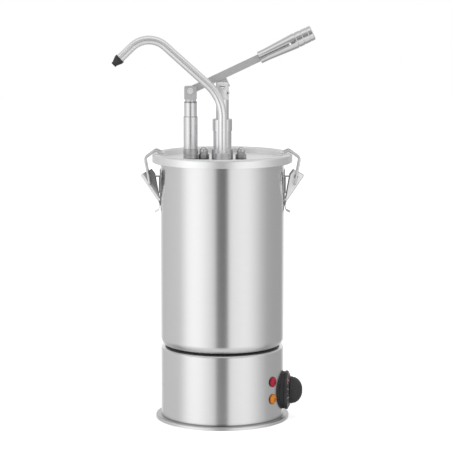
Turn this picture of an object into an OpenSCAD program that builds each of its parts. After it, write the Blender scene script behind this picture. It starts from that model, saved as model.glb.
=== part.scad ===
/* [Base] */
// Outside diameter of the heater housing and of the pot
body_d = 176; // [168:1:190]
// Height of the heater housing above the table
base_h = 104.5; // [102:0.5:120]
// Sheet thickness of the housing and of the pot
sheet = 1.2; // [0.8:0.1:1.5]
// How far the foot ring stands out from the housing
foot_overhang = 7.7; // [5:0.1:12]
// Height of the foot ring above the table
foot_h = 5.2; // [4.4:0.1:8]
// Radius of the housing's top edge
housing_corner_r = 3; // [2:0.5:4]

/* [Pot] */
// Height of the pot from its underside to its rim
pot_h = 264.7; // [240:0.1:300]
// Radius of the pot's bottom corner
pot_corner_r = 12; // [8:0.5:14]

/* [Lid] */
// How far the lid stands out from the pot
lid_overhang = 11.5; // [10:0.5:16]
// Height of the band around the lid
lid_band_h = 12.2; // [11:0.1:16]
// Depth of the flat top below the rolled rim
lid_recess = 8.4; // [7:0.1:9.5]
// Width of the rolled rim
rim_w = 6.5; // [5.5:0.1:8]
// Sheet thickness of the lid
lid_t = 1.2; // [0.8:0.1:1.5]

/* [Pump] */
// Outside diameter of the pump column above the block
column_d = 26.4; // [25:0.1:28]
// Outside diameter of the collar on the column
collar_d = 28.3; // [28.2:0.1:32]
// Outside diameter of the cylinder inside the pot
cylinder_d = 28; // [27:0.5:29]
// Bore of the cylinder and of the column
pump_bore = 22.4; // [21:0.1:23]
// Diameter of the piston head and of the upper rod
head_d = 18.6; // [17:0.1:19]
// Diameter of the lower rod
rod_d = 8; // [6:0.5:10]
// Diameter of the suction ball
suction_ball_d = 10; // [9:0.5:10.5]
// Diameter of the discharge ball
discharge_ball_d = 8; // [7.4:0.2:8.4]
// Travel of each valve ball
ball_travel = 2.3; // [1.5:0.1:2.5]

/* [Spout] */
// Outside diameter of the spout tube
spout_d = 12.4; // [11:0.1:13]
// Wall of the spout tube
spout_wall = 1.2; // [0.8:0.1:1.5]
// Centre line of the spout in front of the column
spout_reach_y = 21; // [20.5:0.5:24]
// Radius of the lower bend
lower_bend_r = 61.9; // [45:0.1:75]
// Turn of the lower bend
lower_bend_angle = 48; // [40:1:55]
// Length of the straight run between the bends
long_run = 80; // [60:0.5:100]
// Radius of the upper bend
upper_bend_r = 34.1; // [25:0.1:45]
// Turn of the upper bend
upper_bend_angle = 86; // [75:1:100]
// Length of the straight run at the nozzle
short_run = 22.9; // [15:0.1:35]
// Length of the nozzle
nozzle_len = 13.3; // [12:0.1:20]

/* [Lever] */
// Angle of the lever at rest above level
lever_rest = 25.3; // [22:0.1:27]
// Angle that the lever swings down
lever_throw = 37; // [20:1:37]
// Distance of the lever's post from the column
post_x = 45; // [42:0.1:50]
// Height of the fulcrum pin above the lid
fulcrum_h = 97; // [96:0.1:104]
// Height of the flat bar
bar_h = 10.5; // [9:0.1:11]
// Thickness of the flat bar
bar_t = 6; // [4.6:0.1:6.5]
// Distance along the bar from the fulcrum to the grip
grip_start = 107.6; // [95:0.1:120]
// Length of the grip
grip_len = 83.1; // [75:0.1:100]
// Diameter of the grip at its thin end
grip_d_thin = 16.6; // [15:0.1:18]
// Diameter of the grip at its thick end
grip_d_thick = 22.7; // [20:0.1:26]

/* [Latches] */
// Distance of each latch pivot from the pot's wall
latch_reach = 16.6; // [16:0.1:18]
// Height of each latch pivot below the top of the rim
latch_drop = 33.2; // [33:0.1:36]
// Diameter of the bail wire
wire_d = 3; // [2.4:0.1:3.2]
// Width of each latch lever
latch_w = 17.6; // [16.6:0.1:19]

/* [Control] */
// Diameter of the thermostat dial
dial_d = 57; // [48:0.5:60]
// Diameter of the control knob
knob_d = 39.2; // [34:0.1:42]
// Height of the dial's centre above the middle of the housing's room
dial_rise = 2; // [0:0.25:6]
// Angle of the dial from the object's right towards its front
dial_angle = 5; // [0:1:12]
// Diameter of the two lamps
lamp_d = 15; // [13:0.5:17]
// Angle of the lamps from the object's right towards its front
lamp_angle = 36; // [34:1:50]
// Distance between the two lamps
lamp_gap = 25; // [20:0.5:28]

/* [Hidden] */
$fn = 64;

// Clearances and the overrun of every cut
overrun = 1;
fit = 0.1;
run_gap = 0.1;
pin_gap = 0.08;
soft_gap = 0.3;

// Base: heights from the table upwards
body_r = body_d / 2;
pad_h = 1.5;
pad_w = 9;
pad_inset = 3;
ring_z = 0.8;
ring_flange_t = 2;
ring_flange_w = 14;
foot_r = body_r + foot_overhang;
foot_edge_r = 1.6;
floor_z = ring_z + ring_flange_t;
floor_t = 1.2;
housing_inner_r = body_r - sheet;
housing_lip_w = 18;
tab_t = 1.6;
tab_w = 14;
tab_len = 12;
tab_z = floor_z + floor_t;
screw_n = 4;
screw_turn = 45;
screw_r = 1.95;
screw_head_r = 3.4;
screw_head_h = 1.7;
screw_len = 10;
screw_ring_inset = 8.5;
screw_ring_r = body_r - screw_ring_inset;

// Heating stack under the pot
seal_t = 0.9;
seal_lip_w = 1.6;
seal_lip_h = 1.5;
seal_lip_edge = 0.7;
seal_edge = 6;
plate_z = base_h + seal_t;
plate_boss_gap = 0.6;
plate_boss_r = body_r - housing_lip_w - plate_boss_gap;
plate_inset = 12;
plate_r = body_r - plate_inset;
plate_t = 4;
plate_z0 = base_h - sheet - plate_t;
shield_gap = 13.8;
shield_r = housing_inner_r - shield_gap;
shield_t = 1;
insulation_gap = 1;
insulation_r = shield_r - shield_t - insulation_gap;
clamp_inset = 11;
clamp_r = insulation_r - clamp_inset;
element_inset = 10;
element_ring_r = clamp_r - element_inset;
element_r = 4;
element_gap_w = 26;
element_leg_h = 22;
element_z = plate_z0 - element_r - fit;
clamp_t = 1.6;
clamp_z = element_z - element_r - fit - clamp_t;
insulation_share = 0.1531;
insulation_t = base_h * insulation_share;
insulation_z = clamp_z - insulation_t;
shield_z = insulation_z - shield_t;
shield_rim_h = 14;
stud_r = 3;
stud_tail = 9;
stud_depth = 2.5;
stud_nut_h = 5;
stud_nut_af = 10;
bulb_r = 3;
bulb_len_share = 1.2;
bulb_len = bulb_len_share * element_ring_r;
bulb_y_share = 0.48;
bulb_y = -bulb_y_share * element_ring_r;
capillary_r = 1;
capillary_sides = 8;
capillary_hole_r = 2.2;
cutout_r = 8;
cutout_h = 12;
cutout_x = -34;
cutout_ear = [30, 9, 1.5];
terminal_size = [36, 18, 18];
terminal_y = 44;
terminal_ways = 3;
terminal_pitch = 11;
terminal_screw_r = 2;
terminal_screw_depth = 5;

// Cable gland at the back of the housing
gland_z = 32;
gland_thread_r = 8;
gland_hole_r = 4;
gland_flange_af = 24;
gland_flange_t = 5;
gland_dome_r = 9.5;
gland_dome_h = 11;
gland_tip_r = 7;
gland_tail = 12;
gland_nut_t = 4;

// Thermostat, knob and lamps
dial_z = (tab_z + shield_z) / 2 + dial_rise;
dial_standoff = 0.5;
dial_back = body_r + dial_standoff;
dial_base_t = 2;
dial_base_edge_r = 1.2;
dial_plate_t = 4;
dial_base_inset = 1.6;
dial_plate_inset = 0.6;
dial_plate_edge = 0.8;
dial_bevel_w = 6;
dial_bevel_h = 3.2;
knob_gap = 0.6;
knob_r = knob_d / 2;
knob_skirt_t = 2.6;
knob_step = 0.6;
knob_dome_r = knob_r - knob_step;
knob_dome_h = 14.8;
knob_flat_r = 5;
knob_dome_turn = acos(knob_flat_r / knob_dome_r);
knob_steps = 8;
knob_z = dial_back + dial_base_t + dial_plate_t + dial_bevel_h + knob_gap;
shaft_r = 3;
shaft_gap = 0.1;
shaft_in_knob = 9;
shaft_in_body = 6;
mount_depth = 8;
mount_face = body_r - mount_depth;
mount_screw_span = 28;
mount_screw_r = 1.95;
mount_screw_head_r = 3.2;
mount_screw_head_h = 1.6;
thermostat_len = 26;
thermostat_w_share = 0.341;
thermostat_w = body_r * thermostat_w_share;
thermostat_h = 38;
thermostat_face_t = 2;
mount_edge_w = 2;
mount_edge_h = 1;
mount_w = thermostat_w + 2 * mount_edge_w;
mount_h = thermostat_h + 2 * mount_edge_h;
thermostat_tag = [8, 6, 0.8];
lamp_r = lamp_d / 2;
lamp_height_share = 0.651;
lamp_z_mid = tab_z + lamp_height_share * (shield_z - tab_z);
lamp_dome_h = 3.4;
lens_ball_r = (lamp_r * lamp_r + lamp_dome_h * lamp_dome_h) / (2 * lamp_dome_h);
lamp_edge_h = 1.1;
lamp_body_r = 5.6;
lamp_body_len = 22;
lamp_stem_r = 4.6;
lamp_seat = 1.6;
lamp_tag = [0.8, 4, 7];

// Pot and lid
pot_z = plate_z + run_gap;
pot_rim_z = pot_z + pot_h;
pot_flange_r = body_r + lid_overhang - lid_t - soft_gap;
gasket_t = 2;
lid_under = pot_rim_z + gasket_t + 2 * fit;
lid_z = lid_under + lid_t;
rim_top = lid_z + lid_recess;
lid_r = body_r + lid_overhang;
band_z = rim_top - lid_band_h;
rim_r = rim_w / 2;
rim_mid_r = lid_r - rim_r;
rim_mid_z = rim_top - rim_r;
rim_in_r = lid_r - rim_w;
gasket_overlap = 0.6;
gasket_in_r = body_r - gasket_overlap;
gasket_bead_w = 3;
gasket_bead_h = 3.4;

// Pump plate, block and studs
pump_plate_t = 3;
pump_plate_z = lid_under - pump_plate_t;
pump_plate_edge = 11;
nut_x = 26.4;
nut_stud_r = 4;
nut_af = 13.4;
nut_hex_h = 6.6;
nut_dome_r = 6.2;
nut_h = 17.2;
nut_stud_h = 12;
block_r = 15.4;
block_h = 15;
block_edge = 1.2;
boss_r = 10;
boss_h = 10.2;
cylinder_r = cylinder_d / 2;
bore_r = pump_bore / 2;
cylinder_in_block = 10.6;
cylinder_top = lid_z + cylinder_in_block;
column_r = column_d / 2;
collar_r = collar_d / 2;
column_z = cylinder_top + fit;
column_h = 35;
collar_foot_h = 40;
collar_z = lid_z + collar_foot_h;
collar_h = 17.1;
collar_edge = 1.4;
collar_cap_t = 6.7;
bush_h = collar_z + collar_h - collar_cap_t - column_z - column_h - 2 * fit;
head_r = head_d / 2;
head_edge = 3;
head_foot_h = 42.4;
head_foot = lid_z + head_foot_h;
link_rise = 6.2;
link_z = lid_z + fulcrum_h + link_rise;
head_above_link = 5.9;
head_top = link_z + head_above_link;
link_pin_share = 0.9;
link_r = 2.5;
link_boss_r = 5.5;
link_boss_t = 0.7;
link_head_r = 3.6;
link_head_h = 1.2;
link_slot_w = 0.9;
link_slot_h = 0.6;
head_slot_w = 4.6;
head_slot_depth = 7;
lock_x = 7.4;
lock_drop = 9.6;
lock_r = 2.6;
lock_len = 1.6;
lock_hole_r = 1.1;
lock_seat_share = 0.6;
rod_r = rod_d / 2;

// Valve block and valves
valve_clear = 3.3;
valve_z = pot_z + sheet + valve_clear;
valve_foot_h = 3;
valve_foot_r = 2;
valve_foot_x = 11;
valve_r = 16.4;
valve_riser_r = 10;
valve_bridge_w = 14;
inlet_share = 0.84;
inlet_h = 3;
ball_r = suction_ball_d / 2;
ball_gap = 0.6;
seat_gap = 0.1;
inlet_r = ball_r * inlet_share;
suction_seat_z = valve_z + inlet_h;
suction_z = suction_seat_z + sqrt(ball_r * ball_r - inlet_r * inlet_r) + seat_gap;
suction_top = suction_z + ball_r + ball_travel + seat_gap;
chamber_neck_r = 3;
chamber_neck_h = 2.4;
chamber_floor = suction_top + chamber_neck_h;
cylinder_socket_h = 8;
cylinder_z = chamber_floor + fit;
valve_top = chamber_floor + cylinder_socket_h;
port_r = 2.2;
port_y = 8.4;
port_h = 6.4;
port_z = valve_z + port_h;
check_r = discharge_ball_d / 2;
check_bore_share = 0.8;
check_bore_r = check_r * check_bore_share;
check_seat_t = 2.6;
check_seat_z = port_z + port_r + check_seat_t;
check_z = check_seat_z + sqrt(check_r * check_r - check_bore_r * check_bore_r) + seat_gap;
riser_r = 5.6;
riser_wall = 1.9;
riser_z = check_z + check_r + ball_travel + seat_gap;
riser_socket_h = 6;
riser_boss_top = riser_z + riser_socket_h;
riser_in_block = 5.4;
riser_top = lid_z + riser_in_block;
spout_step = 2.2;
spout_z = riser_top + spout_step;
spout_r = spout_d / 2;

// Lever linkage, seen from the front with the column at zero
fulcrum_z = lid_z + fulcrum_h;
link_offset = post_x * sin(lever_rest) - (link_z - fulcrum_z) * cos(lever_rest);
function link_at(a) = fulcrum_z + post_x * tan(a) - link_offset / cos(a);
function link_along(a) = post_x * cos(a) + (link_at(a) - fulcrum_z) * sin(a);

// Piston, rod and spring
piston_drop = 3.4;
piston_h = 14;
piston_nut_h = 3.2;
piston_nut_af = 10;
piston_thread_r = 3;
piston_r = bore_r - fit;
seal_groove_w = 3;
seal_groove_depth = 2.2;
seal_pitch = 6;
seal_gap = 0.05;
seal_r = bore_r - seal_gap;
stroke = link_at(lever_rest) - link_at(lever_rest - lever_throw);
piston_nut_z = cylinder_z + stroke + piston_drop;
piston_z = piston_nut_z + piston_nut_h;
seat_bush_h = 10;
spring_coils = 9;
spring_wire_r = 1;
spring_room = 71;
spring_seat_z = head_foot - spring_room - seat_bush_h;
spring_side_gap = 0.8;
spring_mid_r = bore_r - spring_wire_r - spring_side_gap;
spring_sides = 6;
spring_rings = 8;
spring_gap = 0.3;

// Lever, grip, fork and post
slot_play = 0.45;
lug_t = 3.8;
lug_margin = 2;
lug_lip = 2.1;
lug_in = 0.6;
slot_from = link_along(lever_rest);
slot_to = link_along(lever_rest - lever_throw);
fulcrum_r = 2.5;
fulcrum_head_r = 4.2;
fulcrum_head_h = 1.4;
fork_w = 17.4;
fork_depth = 16;
fork_h = 18.5;
fork_above_pin = 6.1;
fork_edge_r = 2;
fork_slot_gap = 0.35;
// The fork's slot is open down to the bar's lower edge when the lever is pressed
fork_slot_reach = bar_h / 2 / cos(lever_throw - lever_rest)
    + fork_w / 2 * tan(lever_throw - lever_rest) + 3 * fork_slot_gap;
fork_neck_r = 7.8;
fork_neck_h = 3.4;
fork_z = fulcrum_z + fork_above_pin - fork_h;
tang_h = 7.6;
tang_t = 4;
tang_len = 46;
grip_groove_first = 58;
grip_groove_pitch = 9.2;
grip_groove_n = 3;
grip_groove_w = 1.8;
grip_groove_depth = 0.9;
grip_edge_r = 1.2;
grip_end_r = 1.8;
grip_swell_share = 0.66;
flute_r = 7;
flute_depth = 0.9;
flute_to = 45;
post_nut_af = 20.9;
post_collar_r = 10.5;
post_collar_h = 13.8;
post_groove_z = 5.6;
post_groove_w = 0.7;
post_groove_depth = 1;
post_sleeve_r = 10.1;
post_sleeve_h = 46.6;
post_tube_r = 9.1;
post_stud_r = 5;
post_edge = 0.8;
post_tail = 7;
post_top = fork_z - fork_neck_h;

// Spout: its centre line in the plane in front of the column
spout_y = -spout_reach_y;
spout_rise = 53;
spout_p1 = [0, spout_z + spout_rise];
spout_c1 = spout_p1 - [lower_bend_r, 0];
spout_p2 = spout_c1 + lower_bend_r * [cos(lower_bend_angle), sin(lower_bend_angle)];
spout_p3 = spout_p2 + long_run * [-sin(lower_bend_angle), cos(lower_bend_angle)];
spout_c2 = spout_p3 - upper_bend_r * [cos(lower_bend_angle), sin(lower_bend_angle)];
spout_turn = lower_bend_angle + upper_bend_angle;
spout_p4 = spout_c2 + upper_bend_r * [cos(spout_turn), sin(spout_turn)];
spout_heading = spout_turn + 90;
spout_dir = [cos(spout_heading), sin(spout_heading)];
spout_p5 = spout_p4 + short_run * spout_dir;
join_lap = 1;
join_step = 0.02;
nozzle_in = 3.4;
nozzle_wall = 1.15;
nozzle_tip_r = 4.05;
nozzle_tip_len = 2.2;
nozzle_bore_r = 2.6;

// Latches: places are measured from the lever's pivot, outwards and upwards
latch_x = body_r + latch_reach;
latch_z = rim_top - latch_drop;
latch_pin_r = 1.75;
rivet_head_r = 3;
rivet_head_h = 0.8;
eye_r = 3.6;
arm_w = 11.8;
arm_t = 1.5;
bracket_w = 14.2;
strap_t = 1;
strap_top = 10.1;
strap_bottom = 39.2;
pad_t = 1.3;
pad_top = 0.6;
pad_bottom = 23.6;
latch_sheet = 1.2;
bail_pivot_in = 1.6;
bail_pivot_drop = 10.8;
bail_pivot = [-bail_pivot_in, -bail_pivot_drop];
latch_len = 51.1;
cheek_shares = [[0.67, 0.031], [-0.24, 0.182], [-0.542, 0.049], [-0.916, -0.636], [-0.82, -0.706]];
cheek = [for (q = cheek_shares) [q[0] * latch_reach, q[1] * latch_len]];
tongue_x = -latch_reach + latch_sheet / 2 + soft_gap;
tongue_top_shares = [[0.633, 0.023], [-0.855, -0.703]];
tongue_low_share = 0.824;
tongue_end_shares = [[-0.831, -0.947], [-0.506, -1]];
tongue = concat([for (q = tongue_top_shares) [q[0] * latch_reach, q[1] * latch_len]],
    [[tongue_x, -tongue_low_share * latch_len]],
    [for (q = tongue_end_shares) [q[0] * latch_reach, q[1] * latch_len]]);
wire_r = wire_d / 2;
bail_side_gap = 1.7;
bail_half_w = latch_w / 2 + wire_r + bail_side_gap;
bail_hook_in = 8.7;
bail_hook_drop = 0.2;
bail_hook = [-lid_overhang - bail_hook_in, latch_drop - bail_hook_drop];
bail_peak_in = 1.4;
bail_peak_h = 4.3;
bail_peak = [-lid_overhang + bail_peak_in, latch_drop + bail_peak_h];
bail_shoulder_out = 5.2;
bail_shoulder_drop = 7.1;
bail_shoulder = [bail_shoulder_out, latch_drop - bail_shoulder_drop];
bail_bend_r = 4;
bail_sides = 8;
bail_arc_steps = 3;
stub_r = wire_r + fit;

// Round shapes used throughout
module drum(r, z0, z1) {
    translate([0, 0, z0]) cylinder(r = r, h = z1 - z0);
}

module pipe(r_out, r_in, z0, z1) {
    difference() {
        drum(r_out, z0, z1);
        drum(r_in, z0 - overrun, z1 + overrun);
    }
}

module hexagon(af, z0, z1) {
    translate([0, 0, z0]) cylinder(d = af / cos(30), h = z1 - z0, $fn = 6);
}

// A bar along Y, centred on the plane y = 0
module cross_bar(r, w) {
    rotate([90, 0, 0]) translate([0, 0, -w / 2]) cylinder(r = r, h = w);
}

// Turns children so that their Z axis points out of the housing, a clockwise from its right
module facing(a, z) {
    translate([0, 0, z]) rotate([0, 0, -a]) rotate([0, 90, 0]) children();
}

// A drum with a rounded outer edge at its top
module soft_drum(r, z0, z1, edge) {
    rotate_extrude() {
        translate([0, z0]) square([r - edge, z1 - z0]);
        translate([0, z0]) square([r, z1 - z0 - edge]);
        translate([r - edge, z1 - edge]) circle(edge);
    }
}

// The half profile of a cup with a rounded bottom corner
module cup_profile(r, h, corner) {
    translate([0, corner]) square([r, h - corner]);
    square([r - corner, corner + overrun]);
    translate([r - corner, corner]) circle(corner);
}

// A closed tube of equal rings along a list of points, its rings carried on without twist
function unit(v) = v / norm(v);
function tangent(ps, i) = unit(ps[min(i + 1, len(ps) - 1)] - ps[max(i - 1, 0)]);
function ring_of(p, u, v, r, n) = [for (i = [0:n - 1])
    p + r * (u * cos(360 * i / n) + v * sin(360 * i / n))];
function carried(ps, u, i = 0) =
    let (t = tangent(ps, i), w = unit(u - (u * t) * t))
    i == len(ps) - 1 ? [w] : concat([w], carried(ps, w, i + 1));

module swept(ps, r, n, side) {
    last = len(ps) - 1;
    us = carried(ps, side);
    rings = [for (i = [0:last]) ring_of(ps[i], us[i], cross(tangent(ps, i), us[i]), r, n)];
    wall = [for (i = [0:last - 1], j = [0:n - 1], half = [0, 1])
        let (a = i * n + j, b = i * n + (j + 1) % n)
        half == 0 ? [a, a + n, b] : [b, a + n, b + n]];
    caps = [for (j = [0:n - 1], end = [0, 1])
        let (k = (j + 1) % n)
        end == 0 ? [j, k, last * n + n] : [last * n + k, last * n + j, last * n + n + 1]];
    polyhedron(points = concat([for (q = rings) each q], [ps[0], ps[last]]),
        faces = concat(wall, caps), convexity = 6);
}

module foot_ring() {
    color("silver") difference() {
        union() {
            pipe(foot_r, body_r - ring_flange_w, ring_z, floor_z);
            difference() {
                soft_drum(foot_r, ring_z, foot_h, foot_edge_r);
                drum(body_r + fit, ring_z - overrun, foot_h + overrun);
            }
        }
        pipe(foot_r - pad_inset + fit, foot_r - pad_inset - pad_w - fit, -overrun, pad_h + fit);
        ring_of_screws() {
            drum(screw_r + fit, ring_z - overrun, floor_z + overrun);
            drum(screw_head_r + fit, ring_z - overrun, ring_z + screw_head_h);
        }
    }
}

module anti_slip_ring() {
    color("black") pipe(foot_r - pad_inset, foot_r - pad_inset - pad_w, 0, pad_h);
}

module ring_of_screws() {
    for (i = [0:screw_n - 1])
        rotate([0, 0, screw_turn + i * 360 / screw_n])
            translate([screw_ring_r, 0, 0]) children();
}

module floor_plate() {
    color("silver") difference() {
        drum(housing_inner_r - fit, floor_z, tab_z);
        ring_of_screws() drum(screw_r + fit, floor_z - overrun, tab_z + overrun);
    }
}

module floor_screws() {
    color("gray") ring_of_screws() {
        drum(screw_head_r, ring_z, ring_z + screw_head_h);
        drum(screw_r, ring_z + screw_head_h, ring_z + screw_len);
    }
}

module base_housing() {
    color("silver") difference() {
        union() {
            difference() {
                soft_drum(body_r, floor_z, base_h, housing_corner_r);
                soft_drum(housing_inner_r, floor_z - overrun, base_h - sheet, housing_corner_r - sheet);
            }
            ring_of_screws() intersection() {
                translate([-tab_len / 2, -tab_w / 2, tab_z])
                    cube([tab_len / 2 + body_r - screw_ring_r, tab_w, tab_t]);
                translate([-screw_ring_r, 0, 0]) drum(housing_inner_r + sheet / 2, 0, base_h);
            }
        }
        drum(body_r - housing_lip_w, base_h - sheet - overrun, base_h + overrun);
        ring_of_screws() drum(screw_r + fit, tab_z - overrun, tab_z + tab_t + overrun);
        facing(dial_angle, dial_z) {
            drum(shaft_r + 2 * fit, mount_face, body_r + overrun);
            dial_screws_at() drum(mount_screw_r + fit, mount_face, body_r + overrun);
        }
        lamps_at() drum(lamp_stem_r + fit, mount_face, body_r + overrun);
        translate([0, 0, gland_z]) rotate([-90, 0, 0])
            drum(gland_thread_r + fit, body_r - ring_flange_w, body_r + overrun);
    }
}

module seat_seal() {
    lip_r = body_r - seal_edge;
    color("black") difference() {
        soft_drum(lip_r, base_h, base_h + seal_lip_h, seal_lip_edge);
        drum(lip_r - seal_lip_w, base_h + seal_t, base_h + seal_lip_h + overrun);
        drum(plate_boss_r + fit, base_h - overrun, base_h + seal_t + overrun);
    }
}

module capillary_hole(z0, z1) {
    translate([bulb_len / 2, bulb_y, 0]) drum(capillary_hole_r, z0, z1);
}

// The cut-away between the two ends of the element
module element_ends() {
    for (s = [-1, 1]) translate([s * element_gap_w / 2, sqrt(pow(element_ring_r, 2)
        - pow(element_gap_w / 2, 2)), 0]) children();
}

module heating_plate() {
    color("lightgray") difference() {
        union() {
            drum(plate_boss_r, plate_z0 + plate_t - fit, plate_z);
            drum(plate_r, plate_z0, plate_z0 + plate_t);
        }
        drum(stud_r + fit / 2, plate_z0 - overrun, plate_z0 + stud_depth);
    }
}

module heating_element() {
    color("dimgray") {
        difference() {
            translate([0, 0, element_z]) rotate_extrude() translate([element_ring_r, 0]) circle(element_r);
            translate([0, element_ring_r, element_z])
                cube([element_gap_w, element_ring_r, 3 * element_r], center = true);
        }
        element_ends() drum(element_r - fit, element_z - element_leg_h, element_z);
    }
}

module element_clamp() {
    color("silver") difference() {
        drum(clamp_r, clamp_z, clamp_z + clamp_t);
        drum(stud_r + fit, clamp_z - overrun, clamp_z + clamp_t + overrun);
        element_ends() drum(element_r + fit, clamp_z - overrun, clamp_z + clamp_t + overrun);
        capillary_hole(clamp_z - overrun, clamp_z + clamp_t + overrun);
    }
}

module insulation_disc() {
    color("khaki") difference() {
        drum(insulation_r, insulation_z, clamp_z);
        drum(stud_r + fit, insulation_z - overrun, clamp_z + overrun);
        element_ends() drum(element_r + fit, insulation_z - overrun, clamp_z + overrun);
        capillary_hole(insulation_z - overrun, clamp_z + overrun);
    }
}

module heat_shield() {
    color("silver") difference() {
        drum(shield_r, shield_z, insulation_z + shield_rim_h);
        drum(shield_r - shield_t, insulation_z, insulation_z + shield_rim_h + overrun);
        drum(stud_r + fit, shield_z - overrun, insulation_z + overrun);
        element_ends() drum(element_r + fit, shield_z - overrun, insulation_z + overrun);
        capillary_hole(shield_z - overrun, insulation_z + overrun);
    }
}

module centre_stud() {
    color("gray") drum(stud_r, shield_z - stud_tail, plate_z0 + stud_depth);
}

module stud_nut() {
    color("gray") difference() {
        hexagon(stud_nut_af, shield_z - stud_nut_h, shield_z);
        drum(stud_r + fit / 2, shield_z - stud_nut_h - overrun, shield_z + overrun);
    }
}

module dial_screws_at() {
    for (s = [-1, 1]) translate([s * mount_screw_span / 2, 0, 0]) children();
}

module thermostat_mount() {
    color("silver") facing(dial_angle, dial_z) difference() {
        intersection() {
            translate([-mount_h / 2, -mount_w / 2, mount_face])
                cube([mount_h, mount_w, body_r - mount_face]);
            rotate([0, 90, 0]) translate([0, 0, -mount_h])
                cylinder(r = housing_inner_r - fit, h = 2 * mount_h);
        }
        drum(shaft_r + 2 * fit, mount_face - overrun, body_r + overrun);
        dial_screws_at() drum(mount_screw_r + fit, mount_face - overrun, body_r + overrun);
    }
}

module thermostat_body() {
    front = mount_face - thermostat_face_t;
    back = front - thermostat_len;
    color("dimgray") facing(dial_angle, dial_z) difference() {
        union() {
            translate([-mount_h / 2, -mount_w / 2, front]) cube([mount_h, mount_w, thermostat_face_t]);
            translate([-thermostat_h / 2, -thermostat_w / 2, back])
                cube([thermostat_h, thermostat_w, thermostat_len]);
            for (s = [-1, 1])
                translate([s * thermostat_h / 4, -thermostat_tag[1] / 2, back - thermostat_tag[0]])
                    cube([thermostat_tag[2], thermostat_tag[1], thermostat_tag[0] + overrun]);
        }
        drum(shaft_r + shaft_gap, front - shaft_in_body - overrun, mount_face + overrun);
        dial_screws_at() drum(mount_screw_r, front - overrun, mount_face + overrun);
    }
}

module thermostat_screws() {
    top = dial_back + dial_base_t - mount_screw_head_h;
    color("gray") facing(dial_angle, dial_z) dial_screws_at() {
        drum(mount_screw_r - fit, mount_face - thermostat_face_t, top);
        drum(mount_screw_head_r, top, top + mount_screw_head_h);
    }
}

module thermostat_bulb() {
    bulb_z = plate_z0 - bulb_r - fit;
    end_r = mount_face - thermostat_face_t - thermostat_len - fit;
    end = [end_r * cos(dial_angle), -end_r * sin(dial_angle), dial_z];
    turn = [bulb_len / 2, bulb_y, dial_z];
    color("peru") {
        translate([-bulb_len / 2, bulb_y, bulb_z]) rotate([0, 90, 0])
            cylinder(r = bulb_r, h = bulb_len - bulb_r);
        swept([
            [bulb_len / 2 - bulb_r - overrun, bulb_y, bulb_z],
            [bulb_len / 2 - capillary_r, bulb_y, bulb_z],
            [bulb_len / 2, bulb_y, bulb_z - capillary_r],
            turn + [0, 0, capillary_r],
            turn + capillary_r * unit(end - turn),
            end
        ], capillary_r, capillary_sides, [0, 1, 0]);
    }
}

module thermal_cutout() {
    color("black") translate([cutout_x, 0, 0]) {
        drum(cutout_r, shield_z - cutout_h, shield_z);
        translate([0, 0, shield_z - cutout_ear[2] / 2]) cube(cutout_ear, center = true);
    }
}

module terminal_block() {
    top = tab_z + terminal_size[2];
    color("ivory") difference() {
        translate([-terminal_size[0] / 2, terminal_y - terminal_size[1] / 2, tab_z]) cube(terminal_size);
        for (i = [0:terminal_ways - 1], s = [-1, 1])
            translate([(i - (terminal_ways - 1) / 2) * terminal_pitch, terminal_y, 0])
                translate([0, s * terminal_size[1] / 4, 0])
                    drum(terminal_screw_r, top - terminal_screw_depth, top + overrun);
    }
}

module cable_gland() {
    color("black") translate([0, 0, gland_z]) rotate([-90, 0, 0]) difference() {
        union() {
            hexagon(gland_flange_af, body_r + fit, body_r + gland_flange_t);
            drum(gland_thread_r, body_r - gland_tail, body_r + gland_flange_t);
            drum(gland_dome_r, body_r + gland_flange_t, body_r + gland_flange_t + gland_dome_h / 2);
            translate([0, 0, body_r + gland_flange_t + gland_dome_h / 2])
                cylinder(r1 = gland_dome_r, r2 = gland_tip_r, h = gland_dome_h / 2);
        }
        drum(gland_hole_r, body_r - gland_tail - overrun, body_r + gland_flange_t + gland_dome_h + overrun);
    }
}

module gland_nut() {
    back = sqrt(pow(housing_inner_r, 2) - pow(gland_flange_af / sqrt(3), 2)) - fit;
    color("black") translate([0, 0, gland_z]) rotate([-90, 0, 0]) difference() {
        hexagon(gland_flange_af, back - gland_nut_t, back);
        drum(gland_thread_r + fit / 2, back - gland_nut_t - overrun, back + overrun);
    }
}

module lamps_at() {
    for (s = [-1, 1]) facing(lamp_angle, lamp_z_mid + s * lamp_gap / 2) children();
}

module lens(z) {
    facing(lamp_angle, z) {
        drum(lamp_stem_r, body_r - lamp_seat, body_r + fit + lamp_edge_h / 2);
        drum(lamp_r, body_r + fit, body_r + fit + lamp_edge_h);
        intersection() {
            drum(lamp_r - fit, body_r + fit, body_r + lamp_edge_h + lamp_dome_h + overrun);
            translate([0, 0, body_r + fit + lamp_edge_h + lamp_dome_h - lens_ball_r])
                sphere(lens_ball_r);
        }
    }
}

module red_lens() {
    color("crimson") lens(lamp_z_mid + lamp_gap / 2);
}

module amber_lens() {
    color("orange") lens(lamp_z_mid - lamp_gap / 2);
}

module lamp_bodies() {
    front = body_r - lamp_seat;
    back = front - lamp_body_len;
    color("ivory") lamps_at() {
        drum(lamp_body_r, back, front);
        for (s = [-1, 1]) translate([s * lamp_tag[1] / 2, -lamp_tag[0] / 2, back - lamp_tag[2]])
            cube([lamp_tag[0], lamp_tag[1], lamp_tag[2] + overrun]);
    }
}

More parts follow.
